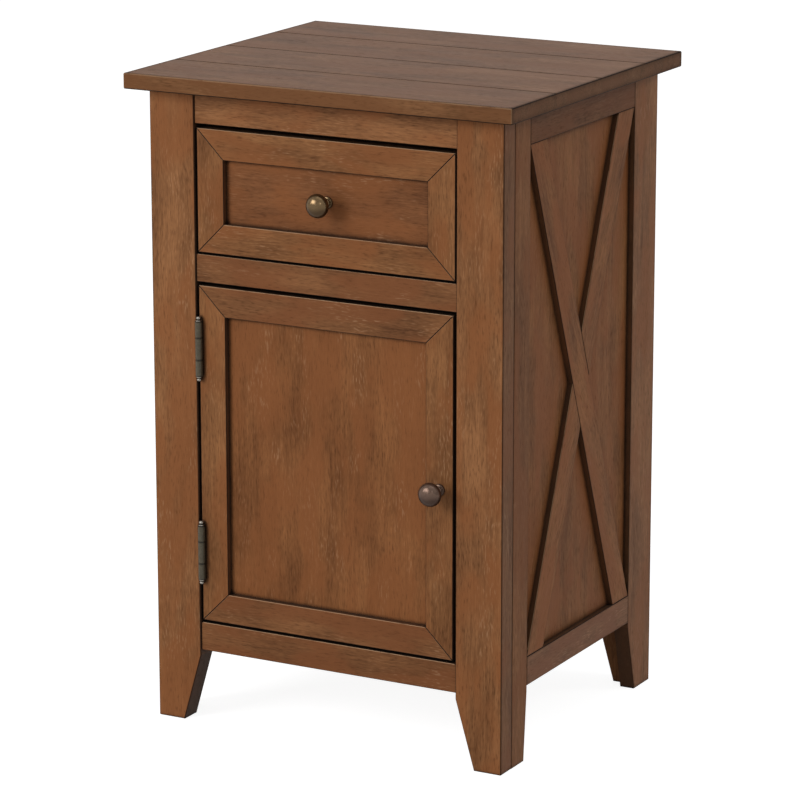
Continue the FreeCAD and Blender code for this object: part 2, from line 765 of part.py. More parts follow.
def make_door():
    """The door: its framed front, drilled for the hinge screws and the knob, and the plate that the magnet holds."""
    front = make_front("door", door_width, door_top_z - door_z, door_x, door_z)
    hole_y = hinge_y + leaf_start - face_y
    centres = [(door_top_z - level - z, hole_y + y) for level in hinge_levels.values() for y, z in hinge_screw_spots]
    depth = s.hinge_screw_length + s.screw_hole_clearance
    front["left"].cut("XY", circles(centres, hinge_hole_radius), depth)
    knob_z = (door_z + door_top_z) / 2 - s.door_knob_drop
    knob_hole = circles([(knob_z - door_z, s.frame_width / 2)], screw_hole_radius)
    front["right"].cut("XZ", knob_hole, s.front_thickness)
    make_knob("door_knob", door_x + door_width - s.frame_width / 2, face_y, knob_z, s.front_thickness)

    plate_z = door_top_z - s.catch_top_distance - s.catch_height
    board("door_strike", s.catch_magnet_width, s.strike_thickness, s.catch_height).at(
        opening_half - s.catch_overlap, front_back_y, plate_z).node()
    magnet_depth = inner_front_y - front_back_y - s.strike_thickness - s.catch_magnet_gap
    outline = [
        (0, 0), (s.catch_magnet_width, 0), (s.catch_magnet_width, magnet_depth), (s.catch_width, magnet_depth),
        (s.catch_width, magnet_depth + s.catch_depth), (0, magnet_depth + s.catch_depth),
    ]
    Piece("catch_body").pad("XY", outline, s.catch_height).at(
        opening_half - s.catch_overlap, inner_front_y - magnet_depth, plate_z).node()


def flat_screw(name, x, y, z, sign):
    """A countersunk hinge screw whose head starts at x and whose shank runs along X in the direction sign."""
    turn = FreeCAD.Rotation(ABOUT_Y, 90 * sign)
    head = primitive("Cone", f"{name}_head", 0, 0, 0, Radius1=s.hinge_screw_head_radius,
                     Radius2=s.hinge_screw_radius, Height=s.hinge_leaf_thickness)
    shank = primitive("Cylinder", f"{name}_shank", 0, 0, 0,
                      Radius=s.hinge_screw_radius, Height=s.hinge_leaf_thickness + s.hinge_screw_length)
    return place(fuse(name, [head, shank]), x, y, z, turn)


def make_hinges():
    """Two butt hinges. The leaf on the leg has the outer knuckles and holds the pin; the door's has the middle one."""
    side_knuckle = (s.hinge_height - s.hinge_middle_knuckle) / 2 - s.hinge_knuckle_gap
    spans = {
        -1: [(as_dim(0), side_knuckle), (s.hinge_height - side_knuckle, side_knuckle)],
        1: [(side_knuckle + s.hinge_knuckle_gap, s.hinge_middle_knuckle)],
    }
    labels = {-1: "hinge_leg_leaf", 1: "hinge_door_leaf"}
    leaves = {-1: [], 1: []}
    screws = {-1: [], 1: []}
    pins = []
    for level_name, level in hinge_levels.items():
        for sign, knuckles in spans.items():
            name = f"{labels[sign]}_{level_name}"
            plate_x = gap_x + (leaf_inner if sign > 0 else -leaf_outer)
            inner_x = gap_x + leaf_inner * sign
            solids = [primitive("Box", f"{name}_plate", plate_x, leaf_start, 0,
                                Length=s.hinge_leaf_thickness, Width=s.hinge_leaf_width, Height=s.hinge_height)]
            for z, height in knuckles:
                solids.append(primitive("Box", f"{name}_tab", plate_x, s.hinge_tab_start, z,
                                        Length=s.hinge_leaf_thickness, Width=leaf_start - s.hinge_tab_start,
                                        Height=height))
                solids.append(primitive("Cylinder", f"{name}_knuckle", 0, 0, z,
                                        Radius=s.hinge_barrel_radius, Height=height))
            tools = [primitive("Cylinder", f"{name}_bore", 0, 0, 0,
                               Radius=s.hinge_pin_radius + s.hinge_pin_clearance, Height=s.hinge_height)]
            for y, z in hinge_screw_spots:
                turn = FreeCAD.Rotation(ABOUT_Y, 90 * sign)
                tools.append(primitive("Cone", f"{name}_sink", inner_x, leaf_start + y, z, turn,
                                       Radius1=s.hinge_screw_head_radius + s.screw_hole_clearance,
                                       Radius2=hinge_hole_radius, Height=s.hinge_leaf_thickness))
                screws[sign].append(flat_screw(f"{name}_screw", hinge_x + inner_x,
                                               hinge_y + leaf_start + y, level + z, sign))
            leaf = cut_away(name, fuse(f"{name}_solid", solids), tools)
            leaves[sign].append(place(leaf, hinge_x, hinge_y, level))
        half_finial = s.hinge_finial_height / 2
        rod = primitive("Cylinder", f"hinge_pin_{level_name}_rod", 0, 0, -half_finial,
                        Radius=s.hinge_pin_radius, Height=s.hinge_height + s.hinge_finial_height)
        tips = [primitive("Ellipsoid", f"hinge_pin_{level_name}_tip", 0, 0, z, Radius1=half_finial,
                          Radius2=s.hinge_finial_radius, Radius3=s.hinge_finial_radius)
                for z in (-half_finial, s.hinge_height + half_finial)]
        pins.append(place(fuse(f"hinge_pin_{level_name}", [rod] + tips), hinge_x, hinge_y, level))
    group("hinge_leg_leaves", leaves[-1])
    group("hinge_door_leaves", leaves[1])
    group("hinge_leg_screws", screws[-1])
    group("hinge_door_screws", screws[1])
    group("hinge_pins", pins)


def check_and_write():
    """Stops at anything that failed to build, then writes each node to a file of its own."""
    doc.recompute()
    for thing in doc.Objects:
        if "Invalid" in thing.State or "Error" in thing.State:
            raise RuntimeError(f"{thing.Label} failed to build")
    for node in nodes:
        if node.Shape.isNull() or not node.Shape.isValid() or not node.Shape.Solids:
            raise RuntimeError(f"{node.Label} has no valid solid")
    os.makedirs("parts", exist_ok=True)
    for node in nodes:
        node.Shape.exportStep(f"parts/{node.Label}.step")
    print(len(nodes), "nodes,", sum(len(node.Shape.Solids) for node in nodes), "solids")


make_top()
for leg_side in SIDES:
    make_front_leg(leg_side)
    make_side_frame(leg_side)
make_front_rails()
make_back()
make_inside()
make_slides()
make_drawer()
make_door()
make_hinges()
check_and_write()
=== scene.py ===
"""Dresses the storage side table: stained wood, aged brass and dark hinges, in a plain pale studio."""
import logging
import math
from collections.abc import Iterable
from dataclasses import dataclass, field, replace
from enum import Enum

import bmesh
import bpy
from mathutils import Matrix, Vector


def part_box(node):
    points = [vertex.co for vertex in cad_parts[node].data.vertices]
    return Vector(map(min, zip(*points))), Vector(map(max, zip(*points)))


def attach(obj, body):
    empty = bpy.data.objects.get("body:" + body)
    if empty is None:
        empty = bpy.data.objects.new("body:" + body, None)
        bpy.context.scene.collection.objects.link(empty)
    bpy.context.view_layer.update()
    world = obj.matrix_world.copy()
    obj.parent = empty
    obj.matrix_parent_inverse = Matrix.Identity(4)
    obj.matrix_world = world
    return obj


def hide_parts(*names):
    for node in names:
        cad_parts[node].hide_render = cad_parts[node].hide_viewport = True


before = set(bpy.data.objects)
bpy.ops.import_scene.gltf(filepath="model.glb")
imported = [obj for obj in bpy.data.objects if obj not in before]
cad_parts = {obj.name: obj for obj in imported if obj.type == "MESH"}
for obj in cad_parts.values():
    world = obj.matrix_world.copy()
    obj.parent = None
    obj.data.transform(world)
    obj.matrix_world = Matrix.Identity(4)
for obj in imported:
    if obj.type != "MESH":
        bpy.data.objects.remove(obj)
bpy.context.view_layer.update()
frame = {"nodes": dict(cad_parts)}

LOG = logging.getLogger("side_table")

MM_PER_METRE = 1000
SAME_POINT = 1e-6
CREASE = math.radians(38)

Colour = tuple[float, float, float]
Triple = tuple[float, float, float]
Profile = tuple[tuple[float, float], ...]
Operand = bpy.types.NodeSocket | float | Triple


class Grain(Enum):
    """Which way a board's grain runs: along X, along Y, upright, or along one of the crossed braces."""

    ACROSS = "across"
    DEPTH = "depth"
    UPRIGHT = "upright"
    RISING = "rising"
    FALLING = "falling"


class Shown(Enum):
    """How far each of a board's faces stays unshaded, where the rest get painted shade: front and back, left,
    right, level.
    """

    ALL = (1.0, 1.0, 1.0, 1.0)
    FRONT = (1.0, 0.0, 0.0, 0.0)
    SLAB = (1.0, 0.72, 0.72, 1.0)
    FRONT_LEFT = (1.0, 0.70, 0.0, 0.0)
    FRONT_RIGHT = (1.0, 0.0, 0.70, 0.0)
    LEFT = (0.0, 1.0, 0.0, 0.0)
    RIGHT = (0.0, 0.0, 1.0, 0.0)


@dataclass(frozen=True)
class Texture:
    """The settings of one noise.

    scale is how many features fit in a metre along, across and through a board. detail is how many finer
    layers there are, rough is how strong they are, and warp is how much it is drawn into swirls.
    """

    scale: Triple
    detail: float = 2.0
    rough: float = 0.5
    warp: float = 0.0


class Graph:
    """Adds nodes to one node tree and wires them together."""

    def __init__(self, tree: bpy.types.NodeTree) -> None:
        """Takes the tree that the nodes go into."""
        self.tree = tree

    def add(self, kind: str, **settings: object) -> bpy.types.Node:
        """Adds one node.

        Args:
            kind: The node's type name.
            settings: Values for the node's own properties.

        Returns:
            The new node.
        """
        node = self.tree.nodes.new(kind)
        for name, value in settings.items():
            setattr(node, name, value)
        return node

    def feed(self, socket: bpy.types.NodeSocket, value: Operand) -> None:
        """Wires a socket to another one, or sets it to a plain value.

        Args:
            socket: The input to fill.
            value: What goes in.
        """
        if isinstance(value, bpy.types.NodeSocket):
            self.tree.links.new(value, socket)
        elif socket.type == "RGBA":
            socket.default_value = (*value, 1.0)
        else:
            socket.default_value = value

    def math(self, operation: str, *operands: Operand, clamp: bool = False) -> bpy.types.NodeSocket:
        """Works out one sum, product, power or the like.

        Args:
            operation: The name of the Math node's operation.
            operands: The numbers or sockets that it takes.
            clamp: Whether the result stays between 0 and 1.

        Returns:
            The socket with the result.
        """
        node = self.add("ShaderNodeMath", operation=operation, use_clamp=clamp)
        for socket, value in zip(node.inputs, operands):
            self.feed(socket, value)
        return node.outputs["Value"]

    def product(self, *factors: Operand) -> bpy.types.NodeSocket:
        """Multiplies two or more values, from the first on.

        Args:
            factors: The values.

        Returns:
            The socket with the product.
        """
        result, *others = factors
        for factor in others:
            result = self.math("MULTIPLY", result, factor)
        return result

    def highest(self, *values: Operand) -> bpy.types.NodeSocket:
        """Picks the largest of two or more values.

        Args:
            values: The values.

        Returns:
            The socket with the largest.
        """
        result, *others = values
        for value in others:
            result = self.math("MAXIMUM", result, value)
        return result

    def clamped(self, value: Operand, factor: Operand = 1.0) -> bpy.types.NodeSocket:
        """The value times the factor, kept between 0 and 1."""
        return self.math("MULTIPLY", value, factor, clamp=True)

    def split(self, vector: Operand) -> bpy.types.NodeOutputs:
        """Takes a vector apart.

        Args:
            vector: The vector.

        Returns:
            The sockets X, Y and Z.
        """
        node = self.add("ShaderNodeSeparateXYZ")
        self.feed(node.inputs["Vector"], vector)
        return node.outputs

    def moved(self, vector: Operand, **shifts: Operand) -> bpy.types.NodeSocket:
        """Moves a vector along some of its axes.

        Args:
            vector: The vector.
            shifts: How far it moves, by the axis' name.

        Returns:
            The socket with the moved vector.
        """
        shift = self.add("ShaderNodeCombineXYZ")
        for axis, amount in shifts.items():
            self.feed(shift.inputs[axis], amount)
        total = self.add("ShaderNodeVectorMath", operation="ADD")
        self.feed(total.inputs[0], vector)
        self.feed(total.inputs[1], shift.outputs["Vector"])
        return total.outputs["Vector"]

    def shelter(self, distance: Operand, samples: int) -> bpy.types.NodeSocket:
        """Tells how much other surfaces shelter a point.

        Args:
            distance: How near they have to be, in metres.
            samples: How many rays look for them.

        Returns:
            A socket with 0 in the open, up to 1.
        """
        node = self.add("ShaderNodeAmbientOcclusion", samples=samples)
        self.feed(node.inputs["Distance"], distance)
        return self.math("SUBTRACT", 1.0, node.outputs["AO"])

    def seen(self) -> bpy.types.NodeSocket:
        """1 for the camera and in reflections, and 0 for the light that falls on the table."""
        ray = self.add("ShaderNodeLightPath").outputs
        return self.highest(ray["Is Camera Ray"], ray["Is Glossy Ray"], ray["Is Transmission Ray"])

    def ramp(self, value: Operand, low: Operand, high: Operand) -> bpy.types.NodeSocket:
        """A smooth step.

        Args:
            value: What it is made from.
            low: Where it is 0.
            high: Where it is 1.

        Returns:
            The socket with the result.
        """
        node = self.add("ShaderNodeMapRange", interpolation_type="SMOOTHSTEP")
        for name, given in (("Value", value), ("From Min", low), ("From Max", high)):
            self.feed(node.inputs[name], given)
        return node.outputs["Result"]

    def stretch(self, vector: Operand, scale: Triple) -> bpy.types.NodeSocket:
        """Scales a vector by its own amount along each axis.

        Args:
            vector: The vector.
            scale: The amounts.

        Returns:
            The socket with the scaled vector.
        """
        node = self.add("ShaderNodeMapping")
        self.feed(node.inputs["Vector"], vector)
        node.inputs["Scale"].default_value = scale
        return node.outputs["Vector"]

    def noise(self, vector: Operand, scale: Operand, detail: float = 2.0, rough: float = 0.5,
              warp: float = 0.0) -> bpy.types.NodeSocket:
        """Noise from 0 to 1.

        Args:
            vector: Where it is read.
            scale: How many of its features fit in a unit of the vector.
            detail: How many finer layers it has.
            rough: How strong the finer layers are.
            warp: How much it is drawn into swirls.

        Returns:
            The socket with the value.
        """
        node = self.add("ShaderNodeTexNoise")
        self.feed(node.inputs["Vector"], vector)
        self.feed(node.inputs["Scale"], scale)
        node.inputs["Detail"].default_value = detail
        node.inputs["Roughness"].default_value = rough
        node.inputs["Distortion"].default_value = warp
        return node.outputs["Fac"]

    def texture(self, vector: Operand, texture: Texture) -> bpy.types.NodeSocket:
        """A named noise, read at a point on the board."""
        place = self.stretch(vector, texture.scale)
        return self.noise(place, 1.0, texture.detail, texture.rough, texture.warp)

    def blend(self, factor: Operand, first: Operand, second: Operand) -> bpy.types.NodeSocket:
        """Blends two colours.

        Args:
            factor: How much of the second one shows.
            first: The colour at 0.
            second: The colour at 1.

        Returns:
            The socket with the colour.
        """
        node = self.add("ShaderNodeMix", data_type="RGBA")
        self.feed(node.inputs[0], factor)
        self.feed(node.inputs[6], first)
        self.feed(node.inputs[7], second)
        return node.outputs[2]

    def group(self, tree: bpy.types.NodeTree, **values: Operand) -> bpy.types.Node:
        """Places a shader group.

        Args:
            tree: The group's tree.
            values: Its inputs by name, with _ for a space.

        Returns:
            The group's node.
        """
        node = self.add("ShaderNodeGroup", node_tree=tree)
        for name, value in values.items():
            self.feed(node.inputs[name.replace("_", " ")], value)
        return node


def new_material(name: str) -> tuple[bpy.types.Material, Graph, bpy.types.Node]:
    """Starts a material.

    Args:
        name: Its name.

    Returns:
        The material, its graph and its shader.
    """
    material = bpy.data.materials.new(name)
    material.use_nodes = True
    return material, Graph(material.node_tree), material.node_tree.nodes["Principled BSDF"]


def add_relief(graph: Graph, shader: bpy.types.Node, height: bpy.types.NodeSocket, strength: float,
               distance: float) -> None:
    """Puts a fine relief on a shader.

    Args:
        graph: The material's graph.
        shader: The material's shader.
        height: The relief's height.
        strength: How strong it is.
        distance: How deep it is, in metres.
    """
    bump = graph.add("ShaderNodeBump")
    bump.inputs["Strength"].default_value = strength
    bump.inputs["Distance"].default_value = distance
    graph.feed(bump.inputs["Height"], height)
    graph.feed(shader.inputs["Normal"], bump.outputs["Normal"])


def new_group(name: str, inputs: dict[str, object], outputs: dict[str, str]) -> tuple[Graph, dict, dict]:
    """Starts a shader group with named sockets.

    Args:
        name: The group's name.
        inputs: Its inputs by name: a number, a colour, or None for a vector.
        outputs: Its outputs by name: Float or Color.

    Returns:
        The graph, the sockets that give the inputs, and the sockets that take the outputs.
    """
    tree = bpy.data.node_groups.new(name, "ShaderNodeTree")
    for socket_name, default in inputs.items():
        kind = "Vector" if default is None else "Float" if isinstance(default, float) else "Color"
        made = tree.interface.new_socket(name=socket_name, in_out="INPUT", socket_type=f"NodeSocket{kind}")
        if default is not None:
            made.default_value = default if kind == "Float" else (*default, 1.0)
    for socket_name, kind in outputs.items():
        tree.interface.new_socket(name=socket_name, in_out="OUTPUT", socket_type=f"NodeSocket{kind}")
    graph = Graph(tree)
    given = graph.add("NodeGroupInput").outputs
    taken = graph.add("NodeGroupOutput").inputs
    return graph, {n: given[n] for n in inputs}, {n: taken[n] for n in outputs}


class Effects:
    """The shader groups that several finishes share. Each is built once."""

    # the noises, and how many features fit in a metre in the breakup of the glaze with its painted shade
    # and of the pale wear with its painted highlight
    sways: Texture = Texture((4.0, 11.0, 11.0))
    bands: Texture = Texture((2.4, 60.0, 60.0), 3.0, 0.55)
    fibres: Texture = Texture((15.0, 420.0, 420.0), 3.0, 0.65)
    dashes: Texture = Texture((125.0, 820.0, 820.0), 1.0)
    crowds: Texture = Texture((13.0, 36.0, 36.0), 2.0, 0.55)
    depths: Texture = Texture((9.0, 20.0, 20.0), 4.0, 0.60, 0.4)
    warmths: Texture = Texture((11.0, 30.0, 30.0), 2.0, 0.5, 0.3)
    lines: Texture = Texture((6.0, 20.0, 20.0))
    scratches: Texture = Texture((400.0, 400.0, 3600.0), 2.0, 0.7)
    glaze_scale: float = 60.0
    wear_scale: float = 46.0

    # how far the grain sways across and through a board, and what each layer adds to its tone
    sway_across: float = 0.020
    sway_through: float = 0.015
    band_weight: float = 0.90
    fibre_weight: float = 1.25
    dash_weight: float = 1.05
    tone_offset: float = -1.10
    relief_share: float = 0.5

    # where the noise begins and ends as a mask
    fleck_range: tuple[float, float] = (0.56, 0.72)
    fleck_crowd: tuple[float, float] = (0.50, 0.66)
    pore_range: tuple[float, float] = (0.42, 0.27)
    pore_crowd: tuple[float, float] = (0.60, 0.40)
    depth_range: tuple[float, float] = (0.32, 0.68)
    warmth_range: tuple[float, float] = (0.40, 0.62)
    wear_range: tuple[float, float] = (0.22, 0.50)
    cloud_range: tuple[float, float] = (0.36, 0.66)

    # how many rays look for shelter, and how the glaze with its painted shade and the lines are broken up:
    # the noise's weight, and what it is added to
    shelter_rays: int = 6
    edge_rays: int = 8
    open_rays: int = 12
    glaze_breakup: tuple[float, float] = (0.5, 0.75)
    line_breakup: tuple[float, float] = (0.5, 0.66)

    # what is a full glaze with painted shade, an edge, a rounded arris, a free one, a face that looks
    # forward, an unshaded face, a crevice and a face that looks down for painted shade, with distances in
    # metres
    full_glaze: float = 0.56
    edge_range: tuple[float, float] = (0.22, 0.30)
    arris_range: tuple[float, float] = (0.993, 0.94)
    open_range: tuple[float, float] = (0.88, 0.98)
    open_distance: float = 0.003
    forward_range: tuple[float, float] = (-0.20, -0.50)
    upper_span: float = 0.30
    side_line: float = 0.6
    shown_range: tuple[float, float] = (0.80, 0.55)
    crevice_range: tuple[float, float] = (0.15, 0.7)
    crevice_distance: float = 0.006
    under_range: tuple[float, float] = (0.30, -0.35)

    # the stained wood's fixed colours, among them the painted shade of the sides and the near-black of the
    # glaze, the lines and the painted shade in recesses, and how far each layer covers the ones below
    pore_colour: Colour = (0.070, 0.026, 0.010)
    side_colour: Colour = (0.050, 0.028, 0.017)
    soot_colour: Colour = (0.008, 0.006, 0.005)
    depth_share: float = 0.36
    warmth_cover: float = 0.75
    pore_cover: float = 0.40
    fleck_cover: float = 0.28
    side_cover: tuple[float, float] = (0.62, 0.30)
    soot_cover: float = 0.95
    bare_cover: float = 0.85

    # what each mask adds to the roughness, and the clouds to the metal's relief
    pore_rough: float = 0.12
    soot_rough: float = 0.20
    tone_rough: float = -0.08
    dull_rough: float = 0.12
    scratch_rough: float = 0.10
    cloud_relief: float = 0.6

    def __init__(self) -> None:
        """Builds every group."""
        self.figure = self.build_figure()
        self.patches = self.build_patches()
        self.glaze = self.build_glaze()
        self.edges = self.build_edges()
        self.faces = self.build_faces()
        self.stain = self.build_stain()
        self.tarnish = self.build_tarnish()

    def build_figure(self) -> bpy.types.NodeTree:
        """Streaks and fibres that run along X of the board, with pale flecks and dark pores in clusters.

        Returns:
            A group with the streaks' tone, the masks of the flecks and the pores, and the relief of all.
        """
        graph, given, taken = new_group(
            "wood_figure", {"Vector": None, "Pores": 1.0, "Flecks": 1.0},
            {"Tone": "Float", "Fleck": "Float", "Pore": "Float", "Relief": "Float"})
        sway = graph.texture(given["Vector"], self.sways)
        bent = graph.moved(given["Vector"], Y=graph.product(sway, self.sway_across),
                           Z=graph.product(sway, self.sway_through))
        bands = graph.texture(bent, self.bands)
        fibres = graph.texture(bent, self.fibres)
        dashes = graph.texture(bent, self.dashes)
        tone = self.tone_offset
        for layer, weight in (
                (bands, self.band_weight), (fibres, self.fibre_weight), (dashes, self.dash_weight)):
            tone = graph.math("MULTIPLY_ADD", layer, weight, tone)
        graph.feed(taken["Tone"], graph.clamped(tone))
        crowd = graph.texture(bent, self.crowds)
        fleck = graph.product(graph.ramp(dashes, *self.fleck_range), graph.ramp(crowd, *self.fleck_crowd))
        graph.feed(taken["Fleck"], graph.clamped(fleck, given["Flecks"]))
        pore = graph.product(graph.ramp(dashes, *self.pore_range), given["Pores"])
        graph.feed(taken["Pore"], graph.clamped(pore, graph.ramp(crowd, *self.pore_crowd)))
        graph.feed(taken["Relief"], graph.math("MULTIPLY_ADD", fibres, self.relief_share,
                                               graph.product(dashes, 1.0 - self.relief_share)))
        return graph.tree

    def build_patches(self) -> bpy.types.NodeTree:
        """Where the stain took more or less, and where it is redder.

        Returns:
            A group with both masks.
        """
        graph, given, taken = new_group(
            "stain_patches", {"Vector": None}, {"Depth": "Float", "Warmth": "Float"})
        depth = graph.texture(given["Vector"], self.depths)
        graph.feed(taken["Depth"], graph.ramp(depth, *self.depth_range))
        warmth = graph.texture(given["Vector"], self.warmths)
        graph.feed(taken["Warmth"], graph.ramp(warmth, *self.warmth_range))
        return graph.tree

    def build_glaze(self) -> bpy.types.NodeTree:
        """The dark glaze in joints, with shade painted into recesses and corners where other surfaces shelter
        them.

        Returns:
            A group with its mask.
        """
        graph, given, taken = new_group(
            "joint_glaze", {"Vector": None, "Reach": 0.006, "Onset": 0.16, "Amount": 1.0}, {"Mask": "Float"})
        breakup = graph.noise(given["Vector"], self.glaze_scale)
        # painted shade: the more nearby surfaces shelter a point, the darker it is painted
        hidden = graph.product(graph.shelter(given["Reach"], self.shelter_rays),
                               graph.math("MULTIPLY_ADD", breakup, *self.glaze_breakup))
        graph.feed(taken["Mask"], graph.clamped(graph.ramp(hidden, given["Onset"], self.full_glaze),
                                                given["Amount"]))
        return graph.tree

    def build_edges(self) -> bpy.types.NodeTree:
        """The dark lines along a board's edges and joints, and the pale upper front arris where it is free:
        wear with a painted highlight.

        Returns:
            A group with both masks.
        """
        graph, given, taken = new_group(
            "board_edges",
            {"Vector": None, "Normal": None, "Turned": None, "Reach": 0.0045, "Line": 0.35, "Joint": 1.0,
             "Wear": 1.0, "Upper": 0.10},
            {"Line": "Float", "Rubbed": "Float"})
        inside = graph.add("ShaderNodeAmbientOcclusion", samples=self.edge_rays, inside=True,
                           only_local=True)
        graph.feed(inside.inputs["Distance"], given["Reach"])
        edge = graph.ramp(graph.math("SUBTRACT", 1.0, inside.outputs["AO"]), *self.edge_range)
        turned_parts = graph.split(given["Turned"])
        straight = graph.highest(*(graph.math("ABSOLUTE", turned_parts[axis]) for axis in "XYZ"))
        arris = graph.ramp(straight, *self.arris_range)
        outside = graph.add("ShaderNodeAmbientOcclusion", samples=self.open_rays)
        outside.inputs["Distance"].default_value = self.open_distance
        parts = graph.split(given["Normal"])
        free = graph.product(graph.ramp(outside.outputs["AO"], *self.open_range), arris)
        upper = graph.ramp(parts["Z"], given["Upper"], graph.math("ADD", given["Upper"], self.upper_span))
        # painted highlight: only arrises facing up and forward turn pale, where the lamps catch them; the
        # noise adds wear
        pale = graph.product(free, upper, graph.ramp(parts["Y"], *self.forward_range))
        breakup = graph.noise(given["Vector"], self.wear_scale, detail=3.0, rough=0.6)
        worn = graph.product(graph.ramp(breakup, *self.wear_range), pale)
        graph.feed(taken["Rubbed"], graph.clamped(worn, given["Wear"]))
        joint = graph.product(graph.math("SUBTRACT", arris, pale), given["Joint"])
        aside = graph.highest(graph.math("ABSOLUTE", parts["Z"]),
                              graph.product(graph.math("ABSOLUTE", parts["X"]), self.side_line))
        line = graph.highest(graph.product(edge, aside, given["Line"]), joint)
        slow = graph.texture(given["Vector"], self.lines)
        graph.feed(taken["Line"], graph.clamped(line, graph.math("MULTIPLY_ADD", slow, *self.line_breakup)))
        return graph.tree

    def build_faces(self) -> bpy.types.NodeTree:
        """Paints shade on a board's sides, the faces not weighted as unshaded, by which way they face.

        Returns:
            A group with the mask of the painted shade on the sides.
        """
        graph, given, taken = new_group(
            "board_faces", {"Normal": None, "Front": 1.0, "Left": 1.0, "Right": 1.0, "Level": 1.0},
            {"Side": "Float"})
        # painted shade: faces whose direction is weighted low here are darkened
        parts = graph.split(given["Normal"])
        front = graph.product(graph.math("ABSOLUTE", parts["Y"]), given["Front"])
        level = graph.product(graph.math("ABSOLUTE", parts["Z"]), given["Level"])
        right = graph.product(parts["X"], given["Right"])
        left = graph.product(parts["X"], graph.product(given["Left"], -1.0))
        graph.feed(taken["Side"], graph.ramp(graph.highest(front, level, right, left), *self.shown_range))
        return graph.tree

    def build_stain(self) -> bpy.types.NodeTree:
        """Puts the stained colours, glaze, lines, painted shade, and the wear with its painted highlight
        together.

        Returns:
            A group with the wood's colour and its roughness.
        """
        graph, given, taken = new_group(
            "stained_colour",
            {"Tone": 0.5, "Fleck": 0.0, "Pore": 0.0, "Depth": 0.5, "Warmth": 0.0, "Glaze": 0.0, "Line": 0.0,
             "Rubbed": 0.0, "Side": 0.0, "Dark": (0.1, 0.05, 0.02), "Light": (0.3, 0.15, 0.06),
             "Warm": (0.3, 0.1, 0.04), "Bare": (0.4, 0.22, 0.1), "Gloss": 0.4},
            {"Color": "Color", "Roughness": "Float"})
        level = graph.math("MULTIPLY_ADD", given["Depth"], self.depth_share,
                           graph.product(given["Tone"], 1.0 - self.depth_share))
        # near-black for the glaze and the lines, with painted shade in recesses
        soot = graph.highest(given["Glaze"], given["Line"])
        # painted shade on the board's sides
        base_cover, depth_cover = self.side_cover
        side = graph.product(
            given["Side"], graph.math("MULTIPLY_ADD", given["Depth"], depth_cover, base_cover))
        colour = graph.blend(level, given["Dark"], given["Light"])
        for cover, layer in (
                (graph.product(given["Warmth"], self.warmth_cover), given["Warm"]),
                (graph.product(given["Pore"], self.pore_cover), self.pore_colour),
                (graph.product(given["Fleck"], self.fleck_cover), given["Bare"]),
                (side, self.side_colour),
                (graph.product(soot, self.soot_cover), self.soot_colour),
                # pale wear with a painted highlight on the free upper front arrises
                (graph.product(given["Rubbed"], self.bare_cover), given["Bare"])):
            colour = graph.blend(cover, colour, layer)
        graph.feed(taken["Color"], colour)
        rough = given["Gloss"]
        for mask, change in ((given["Pore"], self.pore_rough), (soot, self.soot_rough),
                             (given["Tone"], self.tone_rough)):
            rough = graph.math("MULTIPLY_ADD", mask, change, rough)
        graph.feed(taken["Roughness"], rough)
        return graph.tree

    def build_tarnish(self) -> bpy.types.NodeTree:
        """Cloudy tarnish, dark seams, painted shade where it looks down, and fine scratches on metal.

        Returns:
            A group with the metal's colour, its roughness and the scratches' relief.
        """
        graph, given, taken = new_group(
            "metal_tarnish",
            {"Vector": None, "Bright": (0.4, 0.35, 0.2), "Dull": (0.08, 0.07, 0.05), "Cloud Size": 300.0,
             "Gloss": 0.3, "Amount": 0.5, "Seam": 0.0, "Normal": None, "Underside": 0.0},
            {"Color": "Color", "Roughness": "Float", "Relief": "Float"})
        cloud = graph.noise(given["Vector"], given["Cloud Size"], detail=4.0, rough=0.6, warp=0.6)
        cloud = graph.ramp(cloud, *self.cloud_range)
        crevice = graph.ramp(graph.shelter(self.crevice_distance, self.shelter_rays), *self.crevice_range)
        # painted shade: darker where the metal looks down
        under = graph.product(graph.ramp(graph.split(given["Normal"])["Z"], *self.under_range),
                              given["Underside"])
        # the dull colour covers the tarnish, the seams and the painted shade below
        dull = graph.highest(graph.product(cloud, given["Amount"]), crevice, given["Seam"], under)
        graph.feed(taken["Color"], graph.blend(dull, given["Bright"], given["Dull"]))
        scratch = graph.texture(given["Vector"], self.scratches)
        rough = graph.math("MULTIPLY_ADD", scratch, self.scratch_rough, given["Gloss"])
        graph.feed(taken["Roughness"], graph.math("MULTIPLY_ADD", dull, self.dull_rough, rough))
        graph.feed(taken["Relief"], graph.math("MULTIPLY_ADD", cloud, self.cloud_relief, scratch))
        return graph.tree


